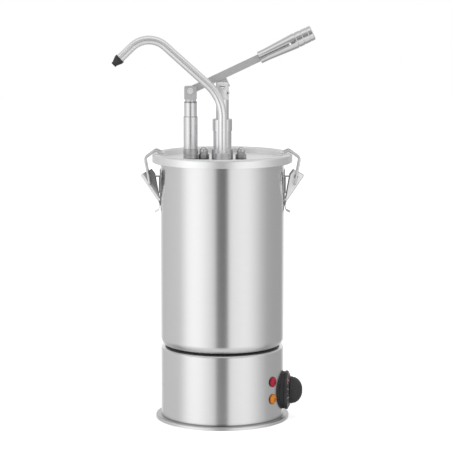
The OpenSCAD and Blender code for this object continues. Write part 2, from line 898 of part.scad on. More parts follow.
module dial_base() {
    r = dial_d / 2 - dial_base_inset;
    color("black") facing(dial_angle, dial_z) difference() {
        soft_drum(r, mount_face, dial_back + dial_base_t, dial_base_edge_r);
        rotate([0, 90, 0]) translate([0, 0, -dial_d]) cylinder(r = body_r + 2 * fit, h = 2 * dial_d);
        drum(shaft_r + 2 * fit, mount_face - overrun, dial_back + dial_base_t + overrun);
        dial_screws_at() {
            drum(mount_screw_r + fit, mount_face, dial_back + dial_base_t + overrun);
            drum(mount_screw_head_r + fit, dial_back + dial_base_t - mount_screw_head_h,
                dial_back + dial_base_t + overrun);
        }
    }
}

module dial_plate() {
    r = dial_d / 2 - dial_plate_inset;
    z0 = dial_back + dial_base_t;
    z1 = z0 + dial_plate_t;
    z2 = z1 + dial_bevel_h;
    color("dimgray") facing(dial_angle, dial_z) difference() {
        rotate_extrude() polygon([[0, z0], [r - dial_plate_edge, z0], [r, z0 + dial_plate_edge],
            [r, z1], [r - dial_bevel_w, z2], [0, z2]]);
        drum(shaft_r + 2 * fit, z0 - overrun, z2 + overrun);
    }
}

module control_knob() {
    color("dimgray") facing(dial_angle, dial_z) difference() {
        union() {
            drum(knob_r, knob_z, knob_z + knob_skirt_t);
            rotate_extrude() polygon(concat([[0, knob_z]], [for (i = [0:knob_steps])
                let (a = i * knob_dome_turn / knob_steps)
                [knob_dome_r * cos(a), knob_z + knob_skirt_t + knob_dome_h * sin(a)]],
                [[0, knob_z + knob_skirt_t + knob_dome_h * sin(knob_dome_turn)]]));
        }
        drum(shaft_r + fit / 2, knob_z - overrun, knob_z + shaft_in_knob + fit);
    }
}

module thermostat_shaft() {
    color("gray") facing(dial_angle, dial_z)
        drum(shaft_r, mount_face - thermostat_face_t - shaft_in_body, knob_z + shaft_in_knob);
}

module pot() {
    color("silver") rotate_extrude() difference() {
        union() {
            translate([0, pot_z]) cup_profile(body_r, pot_h, pot_corner_r);
            translate([0, pot_rim_z - sheet]) square([pot_flange_r, sheet]);
        }
        translate([0, pot_z + sheet]) cup_profile(body_r - sheet, pot_h, pot_corner_r - sheet);
        translate([-body_r, 0]) square([body_r, pot_rim_z + overrun]);
    }
}

module lid_gasket() {
    r = lid_r - lid_t - soft_gap;
    z = pot_rim_z + fit;
    color("dimgray") rotate_extrude() {
        translate([gasket_in_r, z]) square([r - gasket_in_r, gasket_t]);
        translate([r - gasket_bead_w, z]) square([gasket_bead_w, gasket_bead_h]);
    }
}

module lid() {
    color("silver") difference() {
        rotate_extrude() difference() {
            union() {
                translate([0, lid_under]) square([rim_in_r + lid_t, lid_t]);
                translate([rim_in_r, lid_under]) square([lid_t, rim_mid_z - lid_under]);
                translate([lid_r - lid_t, band_z]) square([lid_t, rim_mid_z - band_z]);
                intersection() {
                    difference() {
                        translate([rim_mid_r, rim_mid_z]) circle(rim_r);
                        translate([rim_mid_r, rim_mid_z]) circle(rim_r - lid_t);
                    }
                    translate([rim_in_r - overrun, rim_mid_z])
                        square([rim_w + 2 * overrun, rim_r + overrun]);
                }
            }
            translate([-lid_r, 0]) square([lid_r, rim_top + overrun]);
        }
        drum(cylinder_r + 2 * fit, lid_under - overrun, lid_z + overrun);
        studs_at() drum(nut_stud_r + fit, lid_under - overrun, lid_z + overrun);
        translate([-post_x, 0, 0]) drum(post_stud_r + fit, lid_under - overrun, lid_z + overrun);
        translate([0, spout_y, 0]) drum(riser_r + fit, lid_under - overrun, lid_z + overrun);
    }
}

module studs_at() {
    for (s = [-1, 1]) translate([s * nut_x, 0, 0]) children();
}

module pump_plate() {
    color("silver") difference() {
        union() {
            intersection() {
                translate([-post_x - pump_plate_edge, -cylinder_r, pump_plate_z])
                    cube([post_x + nut_x + 2 * pump_plate_edge, 2 * cylinder_r, pump_plate_t]);
                drum(body_r, 0, lid_z);
            }
            drum(cylinder_r + pump_plate_edge / 2, pump_plate_z, lid_under);
            translate([0, spout_y, 0]) drum(boss_r, pump_plate_z, lid_under);
            studs_at() drum(nut_stud_r, pump_plate_z, lid_z + nut_stud_h);
        }
        drum(cylinder_r + fit, pump_plate_z - overrun, lid_under + overrun);
        translate([-post_x, 0, 0]) drum(post_stud_r + fit, pump_plate_z - overrun, lid_under + overrun);
        translate([0, spout_y, 0]) drum(riser_r + fit, pump_plate_z - overrun, lid_under + overrun);
    }
}

module pump_block() {
    z = lid_z;
    color("silver") difference() {
        union() {
            soft_drum(block_r, z, z + block_h, block_edge);
            translate([0, spout_y, 0]) soft_drum(boss_r, z, z + boss_h, block_edge);
            translate([-boss_r, spout_y, z]) cube([2 * boss_r, spout_reach_y, boss_h - block_edge]);
        }
        drum(cylinder_r + fit / 2, z - overrun, cylinder_top);
        drum(column_r + fit / 2, cylinder_top - overrun, z + block_h + overrun);
        translate([0, spout_y, 0]) {
            drum(riser_r + fit / 2, z - overrun, riser_top + fit);
            drum(spout_r + fit / 2, riser_top, z + block_h + overrun);
        }
    }
}

module cap_nuts() {
    color("silver") studs_at() difference() {
        union() {
            hexagon(nut_af, lid_z, lid_z + nut_hex_h);
            drum(nut_dome_r, lid_z + nut_hex_h, lid_z + nut_h - nut_dome_r);
            translate([0, 0, lid_z + nut_h - nut_dome_r]) difference() {
                sphere(nut_dome_r);
                drum(nut_dome_r + overrun, -nut_dome_r - overrun, 0);
            }
        }
        drum(nut_stud_r + fit / 2, lid_z - overrun, lid_z + nut_stud_h + fit);
    }
}

module column_tube() {
    color("silver") pipe(column_r, bore_r, column_z, column_z + column_h);
}

module rod_bush() {
    z = column_z + column_h + fit;
    color("white") pipe(column_r, head_r + pin_gap, z, z + bush_h);
}

module column_collar() {
    color("silver") difference() {
        soft_drum(collar_r, collar_z, collar_z + collar_h, collar_edge);
        drum(column_r + fit, collar_z - overrun, collar_z + collar_h - collar_cap_t);
        drum(head_r + 2 * fit, collar_z, collar_z + collar_h + overrun);
    }
}

module pump_cylinder() {
    color("silver") pipe(cylinder_r, bore_r, cylinder_z, cylinder_top);
}

module spring_seat() {
    color("white") pipe(bore_r - fit, rod_r + pin_gap, spring_seat_z, spring_seat_z + seat_bush_h);
}

module return_spring() {
    z0 = spring_seat_z + seat_bush_h + spring_wire_r + spring_gap;
    rise = spring_room - 2 * spring_wire_r - 2 * spring_gap;
    n = spring_coils * spring_rings;
    path = [for (i = [0:n]) let (a = 360 * i / spring_rings)
        [spring_mid_r * cos(a), spring_mid_r * sin(a), z0 + rise * i / n]];
    color("gray") swept(path, spring_wire_r, spring_sides, [0, 0, 1]);
}

module piston_rod() {
    color("silver") difference() {
        union() {
            soft_drum(head_r, head_foot, head_top, head_edge);
            drum(rod_r, piston_z + piston_h, head_foot + overrun);
            drum(piston_thread_r, piston_nut_z, piston_z + piston_h + overrun);
            translate([0, 0, link_z]) rotate([90, 0, 0]) {
                drum(link_boss_r, 0, head_r + link_boss_t);
                drum(link_head_r, head_r, head_r + link_boss_t + link_head_h);
            }
            translate([lock_x, 0, link_z - lock_drop]) rotate([90, 0, 0])
                drum(lock_r, 0, head_r * lock_seat_share + lock_len);
        }
        translate([-head_d, -head_slot_w / 2, link_z - head_slot_depth])
            cube([2 * head_d, head_slot_w, head_d]);
        translate([0, -head_r - link_boss_t - link_head_h, link_z])
            cube([2 * link_head_r, 2 * link_slot_h, link_slot_w], center = true);
        translate([lock_x, 0, link_z - lock_drop]) rotate([90, 0, 0]) drum(lock_hole_r, head_r / 2, head_d);
    }
    color("silver") translate([0, 0, link_z]) cross_bar(link_r, head_d * link_pin_share);
}

module piston() {
    color("white") difference() {
        drum(piston_r, piston_z, piston_z + piston_h);
        drum(piston_thread_r + fit / 2, piston_z - overrun, piston_z + piston_h + overrun);
        seal_grooves() pipe(bore_r + overrun, piston_r - seal_groove_depth, 0, seal_groove_w);
    }
    color("gray") difference() {
        hexagon(piston_nut_af, piston_nut_z, piston_z);
        drum(piston_thread_r + fit / 2, piston_nut_z - overrun, piston_z + overrun);
    }
}

module seal_grooves() {
    for (s = [-1, 1])
        translate([0, 0, piston_z + piston_h / 2 + s * seal_pitch / 2 - seal_groove_w / 2]) children();
}

module piston_seals() {
    color("black") seal_grooves()
        pipe(seal_r, piston_r - seal_groove_depth + fit / 2, fit / 2, seal_groove_w - fit / 2);
}

module valve_block() {
    color("silver") difference() {
        union() {
            drum(valve_r, valve_z, valve_top);
            translate([0, spout_y, 0]) drum(valve_riser_r, valve_z, riser_boss_top);
            translate([-valve_bridge_w / 2, spout_y, valve_z])
                cube([valve_bridge_w, spout_reach_y, chamber_floor - valve_z]);
            for (a = [30, 150, 270]) rotate([0, 0, a]) translate([valve_foot_x, 0, 0])
                drum(valve_foot_r, valve_z - valve_foot_h, valve_z + overrun);
        }
        drum(inlet_r, valve_z - overrun, suction_seat_z + overrun);
        drum(ball_r + ball_gap, suction_seat_z, suction_top);
        drum(chamber_neck_r, suction_top - overrun, chamber_floor + overrun);
        drum(cylinder_r + fit / 2, chamber_floor, riser_boss_top + overrun);
        translate([0, -port_y, 0]) drum(port_r - fit, port_z, chamber_floor + overrun);
        translate([0, 0, port_z]) rotate([90, 0, 0]) drum(port_r, port_y - port_r, spout_reach_y);
        translate([0, spout_y, 0]) {
            drum(check_bore_r, port_z - port_r - fit, check_seat_z + overrun);
            drum(check_r + ball_gap, check_seat_z, riser_z + fit);
            drum(riser_r + fit / 2, riser_z, riser_boss_top + overrun);
        }
    }
}

module suction_ball() {
    color("silver") translate([0, 0, suction_z]) sphere(ball_r);
}

module discharge_ball() {
    color("silver") translate([0, spout_y, check_z]) sphere(check_r);
}

module riser_tube() {
    color("silver") translate([0, spout_y, 0])
        pipe(riser_r, riser_r - riser_wall, riser_z + fit, riser_top);
}

// One straight or curved length of the spout's centre line
module spout_run(p, heading, l, r) {
    translate([p[0], spout_y, p[1]]) rotate([0, 90 - heading, 0])
        translate([0, 0, -join_lap]) cylinder(r = r - join_step, h = l + 2 * join_lap);
}

module spout_bend(c, bend_r, from, turn, r) {
    translate([c[0], spout_y, c[1]]) rotate([90, 0, 0]) rotate([0, 0, from])
        rotate_extrude(angle = turn) translate([bend_r, 0]) circle(r);
}

module spout_line(r, extra) {
    spout_run([0, spout_z + join_lap - extra], 90, spout_rise - join_lap + extra, r);
    spout_bend(spout_c1, lower_bend_r, 0, lower_bend_angle, r);
    spout_run(spout_p2, 90 + lower_bend_angle, long_run, r);
    spout_bend(spout_c2, upper_bend_r, lower_bend_angle, upper_bend_angle, r);
    spout_run(spout_p4, spout_heading, short_run + nozzle_in - join_lap + extra, r);
}

module spout() {
    color("silver") difference() {
        spout_line(spout_r, 0);
        spout_line(spout_r - spout_wall, overrun);
    }
}

module nozzle() {
    big_r = spout_r + nozzle_wall;
    color("black") translate([spout_p5[0], spout_y, spout_p5[1]]) rotate([0, 90 - spout_heading, 0])
        difference() {
            union() {
                drum(big_r, 0, nozzle_in);
                translate([0, 0, nozzle_in]) cylinder(r1 = big_r, r2 = nozzle_tip_r,
                    h = nozzle_len - nozzle_in - nozzle_tip_len);
                drum(nozzle_tip_r, nozzle_len - nozzle_tip_len - fit, nozzle_len);
            }
            drum(spout_r + fit / 2, -overrun, nozzle_in + fit / 2);
            drum(nozzle_bore_r, 0, nozzle_len + overrun);
        }
}

module post() {
    groove_z = lid_z + post_groove_z;
    collar_top = lid_z + post_collar_h;
    sleeve_top = collar_top + post_sleeve_h;
    color("silver") translate([-post_x, 0, 0]) {
        soft_drum(post_collar_r, lid_z, groove_z, post_edge);
        drum(post_collar_r - post_groove_depth, groove_z - fit, groove_z + post_groove_w + fit);
        soft_drum(post_collar_r, groove_z + post_groove_w, collar_top, post_edge);
        soft_drum(post_sleeve_r, collar_top - fit, sleeve_top, post_edge);
        drum(post_tube_r, sleeve_top - fit, post_top);
        drum(post_stud_r, pump_plate_z - post_tail, post_top + fork_neck_h);
        hexagon(post_nut_af, pump_plate_z - post_tail, pump_plate_z - fit);
    }
}

module fulcrum_fork() {
    color("silver") translate([-post_x, 0, 0]) difference() {
        union() {
            drum(fork_neck_r, post_top, fork_z + overrun);
            rotate([90, 0, 0]) translate([-fork_w / 2, fork_z, -fork_depth / 2])
                linear_extrude(fork_depth) {
                    square([fork_w, fork_h - fork_edge_r]);
                    translate([fork_edge_r, 0]) square([fork_w - 2 * fork_edge_r, fork_h]);
                    for (x = [fork_edge_r, fork_w - fork_edge_r])
                        translate([x, fork_h - fork_edge_r]) circle(fork_edge_r);
                }
        }
        drum(post_stud_r + fit / 2, post_top - overrun, post_top + fork_neck_h + fit / 2);
        translate([-fork_w, -bar_t / 2 - fork_slot_gap, fulcrum_z - fork_slot_reach])
            cube([2 * fork_w, bar_t + 2 * fork_slot_gap, fork_h]);
        translate([0, 0, fulcrum_z]) cross_bar(fulcrum_r + fit / 2, fork_depth + 2 * overrun);
    }
}

module fulcrum_pin() {
    color("silver") translate([-post_x, 0, fulcrum_z]) {
        cross_bar(fulcrum_r, fork_depth + 2 * fit);
        for (s = [-1, 1]) translate([0, s * (fork_depth + fulcrum_head_h + 2 * fit) / 2, 0])
            cross_bar(fulcrum_head_r, fulcrum_head_h);
    }
}

// The lever's own frame: its fulcrum at the origin and its length along X
module on_lever() {
    translate([-post_x, 0, fulcrum_z]) rotate([0, -lever_rest, 0]) children();
}

module lever_bar() {
    lug_from = slot_from - link_r - lug_margin;
    lug_to = slot_to + link_r + lug_margin;
    lug_low = link_offset + link_r + slot_play + lug_lip;
    color("gray") on_lever() difference() {
        union() {
            cross_bar(bar_h / 2, bar_t);
            translate([0, -bar_t / 2, -bar_h / 2]) cube([grip_start, bar_t, bar_h]);
            translate([grip_start - overrun, -tang_t / 2, -tang_h / 2])
                cube([tang_len + overrun, tang_t, tang_h]);
            translate([lug_from, -lug_t / 2, -lug_low + lug_margin])
                cube([lug_to - lug_from, lug_t, lug_low - lug_margin - bar_h / 2 + lug_in]);
            translate([lug_from + lug_margin, -lug_t / 2, -lug_low])
                cube([lug_to - lug_from - 2 * lug_margin, lug_t, 2 * lug_margin]);
            for (x = [lug_from + lug_margin, lug_to - lug_margin])
                translate([x, 0, -lug_low + lug_margin]) cross_bar(lug_margin, lug_t);
        }
        cross_bar(fulcrum_r + pin_gap, bar_t + 2 * overrun);
        for (x = [slot_from - slot_play, slot_to + slot_play])
            translate([x, 0, -link_offset]) cross_bar(link_r + slot_play, lug_t + 2 * overrun);
        translate([slot_from - slot_play, -lug_t, -link_offset - link_r - slot_play])
            cube([slot_to - slot_from + 2 * slot_play, 2 * lug_t, 2 * (link_r + slot_play)]);
    }
}

module handle_grip() {
    r0 = grip_d_thin / 2;
    r1 = grip_d_thick / 2;
    swell = grip_len * grip_swell_share;
    groove_r = r1 + grip_groove_w / 2 - grip_groove_depth;
    color("dimgray") on_lever() translate([grip_start + fit, 0, 0]) rotate([0, 90, 0]) difference() {
        rotate_extrude() difference() {
            union() {
                polygon([[0, 0], [r0 - grip_edge_r / 2, 0], [r0, grip_edge_r / 2], [r1, swell],
                    [r1 - grip_edge_r / 2, grip_len - grip_edge_r], [0, grip_len - grip_edge_r]]);
                square([r1 - 2 * grip_edge_r, grip_len]);
                translate([r1 - 2 * grip_edge_r, grip_len - grip_end_r]) circle(grip_end_r);
            }
            for (i = [0:grip_groove_n - 1])
                translate([groove_r, grip_groove_first + i * grip_groove_pitch]) circle(grip_groove_w / 2);
            translate([-r1, -overrun]) square([r1, grip_len + 2 * overrun]);
        }
        translate([-tang_h / 2 - fit, -tang_t / 2 - fit, -overrun])
            cube([tang_h + 2 * fit, tang_t + 2 * fit, tang_len + overrun + fit]);
        translate([0, flute_depth - flute_r - r0, 0]) rotate([atan((r1 - r0) / swell), 0, 0]) {
            drum(flute_r, -flute_r, flute_to);
            translate([0, 0, flute_to]) sphere(flute_r);
        }
    }
}

// Latches: drawn on the right and mirrored for the left
module at_latch() {
    translate([latch_x, 0, latch_z]) children();
}

module both_sides() {
    children();
    mirror([1, 0, 0]) children();
}

module bracket() {
    arm_z = [latch_z - arm_t / 2, latch_z + arm_t / 2];
    wall = body_r + fit / 2;
    difference() {
        union() {
            intersection() {
                union() {
                    pipe(wall + strap_t, wall, latch_z - strap_bottom, latch_z + strap_top);
                    pipe(wall + strap_t + pad_t, wall, latch_z - pad_bottom, latch_z + pad_top);
                }
                translate([0, -bracket_w / 2, 0]) cube([2 * body_r, bracket_w, rim_top]);
            }
            translate([body_r + strap_t, -arm_w / 2, arm_z[0]]) cube([latch_reach - strap_t, arm_w, arm_t]);
            at_latch() cross_bar(eye_r, arm_w);
        }
        at_latch() cross_bar(latch_pin_r + fit / 2, arm_w + 2 * overrun);
    }
}

module latch_brackets() {
    color("silver") both_sides() bracket();
}

module latch_rivets() {
    color("silver") both_sides() at_latch() {
        cross_bar(latch_pin_r, latch_w + 2 * fit);
        for (s = [-1, 1]) translate([0, s * (latch_w / 2 + fit + rivet_head_h / 2), 0])
            cross_bar(rivet_head_r, rivet_head_h);
    }
}

// A strip of even thickness along points in the plane of the latch
function strip_side(ps, t) = [for (i = [0:len(ps) - 1])
    let (d = unit(ps[min(i + 1, len(ps) - 1)] - ps[max(i - 1, 0)])) ps[i] + t * [-d[1], d[0]]];
function reversed(v) = [for (i = [len(v) - 1:-1:0]) v[i]];

module plate_shape(points, w) {
    rotate([90, 0, 0]) translate([0, 0, -w / 2]) linear_extrude(w) polygon(points);
}

module latch_lever() {
    at_latch() difference() {
        union() {
            plate_shape(concat(strip_side(tongue, latch_sheet / 2),
                reversed(strip_side(tongue, -latch_sheet / 2))), latch_w);
            difference() {
                plate_shape(cheek, latch_w);
                translate([-latch_len, latch_sheet - latch_w / 2, -latch_len])
                    cube([2 * latch_len, latch_w - 2 * latch_sheet, 2 * latch_len]);
            }
        }
        cross_bar(latch_pin_r + pin_gap, latch_w + 2 * overrun);
        translate([bail_pivot[0], 0, bail_pivot[1]]) cross_bar(stub_r + pin_gap, latch_w + 2 * overrun);
    }
}

module latch_lever_right() {
    color("silver") latch_lever();
}

module latch_lever_left() {
    color("silver") mirror([1, 0, 0]) latch_lever();
}

// Rounded corners of the bail, as points on a quadratic curve through each corner
function rounded(a, b, c, r, n) = [for (i = [0:n])
    let (t = i / n, p = b + r * unit(a - b), q = b + r * unit(c - b))
    (1 - t) * (1 - t) * p + 2 * t * (1 - t) * b + t * t * q];

module latch_bail() {
    y = bail_half_w;
    p0 = [bail_pivot[0], -y, bail_pivot[1]];
    corners = [
        [bail_pivot[0], y, bail_pivot[1]],
        [bail_shoulder[0], y, bail_shoulder[1]],
        [bail_peak[0], y, bail_peak[1]],
        [bail_hook[0], y, bail_hook[1]],
        [bail_hook[0], -y, bail_hook[1]],
        [bail_peak[0], -y, bail_peak[1]],
        [bail_shoulder[0], -y, bail_shoulder[1]],
        p0
    ];
    last = len(corners) - 1;
    bends = [for (i = [1:last - 1])
        each rounded(corners[i - 1], corners[i], corners[i + 1], bail_bend_r, bail_arc_steps)];
    stub_y = (latch_w / 2 + y + wire_r) / 2;
    at_latch() {
        swept(concat([corners[0]], bends, [corners[last]]), wire_r, bail_sides, [0, 1, 0]);
        for (s = [-1, 1]) translate([bail_pivot[0], s * stub_y, bail_pivot[1]])
            cross_bar(stub_r, y + wire_r - latch_w / 2 + 2 * latch_sheet);
    }
}

module latch_bail_right() {
    color("silver") latch_bail();
}

module latch_bail_left() {
    color("silver") mirror([1, 0, 0]) latch_bail();
}

foot_ring();
anti_slip_ring();
floor_plate();
floor_screws();
base_housing();
seat_seal();
heating_plate();
heating_element();
element_clamp();
insulation_disc();
heat_shield();
centre_stud();
stud_nut();
thermostat_body();
thermostat_mount();
thermostat_screws();
thermostat_bulb();
thermal_cutout();
terminal_block();
cable_gland();
gland_nut();
lamp_bodies();
red_lens();
amber_lens();
dial_base();
dial_plate();
control_knob();
thermostat_shaft();
pot();
lid();
lid_gasket();
latch_brackets();
latch_rivets();
latch_lever_right();
latch_bail_right();
latch_lever_left();
latch_bail_left();
pump_plate();
pump_block();
cap_nuts();
column_tube();
column_collar();
rod_bush();
pump_cylinder();
spring_seat();
return_spring();
piston_rod();
piston();
piston_seals();
valve_block();
suction_ball();
discharge_ball();
riser_tube();
spout();
nozzle();
post();
fulcrum_fork();
fulcrum_pin();
lever_bar();
handle_grip();
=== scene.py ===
import math

import bmesh
import bpy
from mathutils import Matrix, Vector


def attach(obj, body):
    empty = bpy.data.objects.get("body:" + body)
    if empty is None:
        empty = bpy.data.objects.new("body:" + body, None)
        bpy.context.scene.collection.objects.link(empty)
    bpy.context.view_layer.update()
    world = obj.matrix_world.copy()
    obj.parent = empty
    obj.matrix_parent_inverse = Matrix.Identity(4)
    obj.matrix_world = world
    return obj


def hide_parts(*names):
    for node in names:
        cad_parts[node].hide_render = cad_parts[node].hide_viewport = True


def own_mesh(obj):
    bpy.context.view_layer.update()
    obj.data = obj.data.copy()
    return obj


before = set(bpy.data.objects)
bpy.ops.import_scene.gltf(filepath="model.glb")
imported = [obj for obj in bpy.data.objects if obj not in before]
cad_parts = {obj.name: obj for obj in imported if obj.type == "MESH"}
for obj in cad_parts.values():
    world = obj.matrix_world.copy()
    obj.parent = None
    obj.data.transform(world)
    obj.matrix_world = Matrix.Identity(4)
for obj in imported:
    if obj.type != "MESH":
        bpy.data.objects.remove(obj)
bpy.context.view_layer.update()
scene = bpy.context.scene
MM = 0.001
UP = (0, 0, 1)

# The frame's directions and places that the looks need: the fulcrum in metres, the others in millimetres
LEVER_SLOPE = math.radians(25.3)
LEVER = (math.cos(LEVER_SLOPE), 0, math.sin(LEVER_SLOPE))
FULCRUM = (-0.045, 0, 0.4706)
DIAL_ANGLE = 5
DIAL_Z = 40.25
LAMP_ANGLE = 36
LAMP_Z = 48.6
LAMP_GAP = 25
BODY_R = 88
LID_Z = 373.6


# Materials
STEEL = (0.76, 0.76, 0.765)
PLATE_METALLIC, PLATE_ROUGH, PLATE_BLEND = 0.3, 0.3, 0.001
NOISE_ROUGHNESS = 0.55
CLOUD_STRETCH, CLOUD_DETAIL = (14, 14, 14), 2.0
TINT_LOW, TINT_HIGH = 0.25, 0.75
LEAST_ROUGH = 0.02
GRAIN_TURN = 0.25


def new_material(name):
    m = bpy.data.materials.new(name)
    m.use_nodes = True
    m.node_tree.nodes.clear()
    return m, m.node_tree


def link(tree, a, b):
    tree.links.new(a, b)


def node(tree, kind, **settings):
    n = tree.nodes.new(kind)
    for key, value in settings.items():
        setattr(n, key, value)
    return n


def math_node(tree, operation, a, b=None):
    n = node(tree, "ShaderNodeMath", operation=operation)
    for socket, value in zip(n.inputs, (a, b)):
        if value is None:
            continue
        if isinstance(value, (int, float)):
            socket.default_value = value
        else:
            link(tree, value, socket)
    return n.outputs[0]


def vector_node(tree, operation, a, b):
    """Vector maths on one socket and either a second one or a plain vector."""
    n = node(tree, "ShaderNodeVectorMath", operation=operation)
    link(tree, a, n.inputs[0])
    if isinstance(b, bpy.types.NodeSocket):
        link(tree, b, n.inputs[1])
    else:
        n.inputs[1].default_value = b
    return n


def split(tree, vector):
    n = node(tree, "ShaderNodeSeparateXYZ")
    link(tree, vector, n.inputs[0])
    return n.outputs


def distance(tree, x, y):
    """The distance out that two coordinates make."""
    squares = [math_node(tree, "MULTIPLY", v, v) for v in (x, y)]
    return math_node(tree, "SQRT", math_node(tree, "ADD", *squares))


def coordinates(tree, axis=None, centre=(0, 0, 0)):
    """Object coordinates about a centre, wound round an axis if one is given.

    Wound, they are the turn, the distance out and the distance along.
    """
    coords = node(tree, "ShaderNodeTexCoord").outputs["Object"]
    shifted = vector_node(tree, "SUBTRACT", coords, centre).outputs[0]
    if axis is None:
        return shifted
    rot = node(tree, "ShaderNodeVectorRotate", rotation_type="EULER_XYZ", invert=True)
    rot.inputs["Rotation"].default_value = Vector(axis).to_track_quat("Z", "Y").to_euler()
    link(tree, shifted, rot.inputs["Vector"])
    x, y, z = split(tree, rot.outputs[0])
    wound = node(tree, "ShaderNodeCombineXYZ")
    link(tree, math_node(tree, "ARCTAN2", y, x), wound.inputs[0])
    link(tree, distance(tree, x, y), wound.inputs[1])
    link(tree, z, wound.inputs[2])
    return wound.outputs[0]


def noise(tree, vector, stretch=(1, 1, 1), detail=3.0):
    stretched = vector_node(tree, "MULTIPLY", vector, stretch)
    n = node(tree, "ShaderNodeTexNoise")
    link(tree, stretched.outputs[0], n.inputs["Vector"])
    n.inputs["Scale"].default_value = 1.0
    n.inputs["Detail"].default_value = detail
    n.inputs["Roughness"].default_value = NOISE_ROUGHNESS
    return n.outputs["Fac"]


def ramp(tree, fac, stops):
    n = node(tree, "ShaderNodeValToRGB")
    link(tree, fac, n.inputs[0])
    points = n.color_ramp.elements
    while len(points) < len(stops):
        points.new(0.5)
    for point, (share, colour) in zip(points, stops):
        point.position = share
        point.color = (*colour, 1)
    return n.outputs[0]


def spread(tree, fac, low, high, start=0.0, end=1.0):
    """Maps the values from start to end onto those from low to high."""
    n = node(tree, "ShaderNodeMapRange")
    link(tree, fac, n.inputs["Value"])
    for key, value in (("From Min", start), ("From Max", end), ("To Min", low), ("To Max", high)):
        n.inputs[key].default_value = value
    return n.outputs[0]


def scaled(colour, k):
    return tuple(min(1.0, v * k) for v in colour)


def bands(tree, direction, stops):
    """Grey shares of painted shade by the distance along a direction, each stop a distance in millimetres
    and a share.
    """
    dot = vector_node(tree, "DOT_PRODUCT", coordinates(tree), direction)
    first, last = stops[0][0], stops[-1][0]
    fac = spread(tree, dot.outputs["Value"], 0.0, 1.0, first * MM, last * MM)
    return ramp(tree, fac, [((d - first) / (last - first), (v, v, v)) for d, v in stops])


def beside(p, q, stops):
    """The bands beside the line from one place (x, z) to another, by the distance to its left."""
    along = Vector((q[0] - p[0], 0, q[1] - p[1])).normalized()
    across = Vector((-along.z, 0, along.x))
    start = across.dot(Vector((p[0], 0, p[1])))
    return across, [(start + d, v) for d, v in stops]


def principled(name):
    m, tree = new_material(name)
    out = node(tree, "ShaderNodeOutputMaterial")
    bsdf = node(tree, "ShaderNodeBsdfPrincipled")
    link(tree, bsdf.outputs[0], out.inputs[0])
    return m, tree, bsdf


def add_bump(tree, bsdf, height, strength, size):
    n = node(tree, "ShaderNodeBump")
    n.inputs["Strength"].default_value = strength
    n.inputs["Distance"].default_value = size
    link(tree, height, n.inputs["Height"])
    link(tree, n.outputs[0], bsdf.inputs["Normal"])


def surface(name, colour, rough, metallic=0.0, axis=None, centre=(0, 0, 0), stretch=(900, 900, 900),
            detail=3.0, vary=0.06, rough_vary=0.05, bump=0.0, bump_size=0.00001, wear=0.3, aniso=0.0,
            specular=0.5, painted_shade=(), plate_from=None):
    """A surface whose colour, gloss and relief follow one stretched grain and a broad cloudy wear.

    The bands in its painted-shade list darken the colour with painted shade. Above the height plate_from the
    metal is blasted to a paler, duller face.
    """
    m, tree, bsdf = principled(name)
    grain = noise(tree, coordinates(tree, axis, centre), stretch, detail)
    cloud = noise(tree, coordinates(tree), CLOUD_STRETCH, CLOUD_DETAIL)
    both = math_node(tree, "ADD", math_node(tree, "MULTIPLY", grain, 1 - wear),
                     math_node(tree, "MULTIPLY", cloud, wear))
    tint = ramp(tree, both, [(TINT_LOW, scaled(colour, 1 - vary)), (TINT_HIGH, scaled(colour, 1 + vary))])
    for direction, stops in painted_shade:
        tint = vector_node(tree, "MULTIPLY", tint, bands(tree, direction, stops)).outputs[0]
    link(tree, tint, bsdf.inputs["Base Color"])
    gloss = spread(tree, both, max(LEAST_ROUGH, rough - rough_vary), rough + rough_vary)
    bsdf.inputs["Metallic"].default_value = metallic
    if plate_from:
        height = split(tree, coordinates(tree))[2]
        start = plate_from * MM
        plate = spread(tree, height, 0.0, 1.0, start, start + PLATE_BLEND)
        link(tree, spread(tree, plate, metallic, PLATE_METALLIC), bsdf.inputs["Metallic"])
        gloss = math_node(tree, "ADD", gloss, math_node(tree, "MULTIPLY", plate, PLATE_ROUGH))
    link(tree, gloss, bsdf.inputs["Roughness"])
    bsdf.inputs["Specular IOR Level"].default_value = specular
    if aniso:
        bsdf.inputs["Anisotropic"].default_value = aniso
        t = node(tree, "ShaderNodeTangent", direction_type="RADIAL", axis="Z")
        link(tree, t.outputs[0], bsdf.inputs["Tangent"])
        bsdf.inputs["Anisotropic Rotation"].default_value = GRAIN_TURN
    if bump:
        add_bump(tree, bsdf, grain, bump, bump_size)
    return m


def radial(angle, out, z):
    """A place at a distance out from the axis, at an angle from the right towards the front, in metres."""
    a = math.radians(angle)
    return Vector((out * math.cos(a), -out * math.sin(a), z)) * MM


LENS_RING_PITCH, LENS_RING_SHARE = 5200, 0.05
LENS_FLECKS, LENS_FLECK_SHARE = (420, 420, 420), 0.55
LENS_MIDDLE = 125
LENS_STOPS = (0.1, 0.42, 0.8, 0.98)
LENS_RIM = 1.2
LENS_ROUGH, LENS_SPECULAR = 0.22, 0.35
LENS_BUMP, LENS_BUMP_SIZE = 0.3, 0.0001


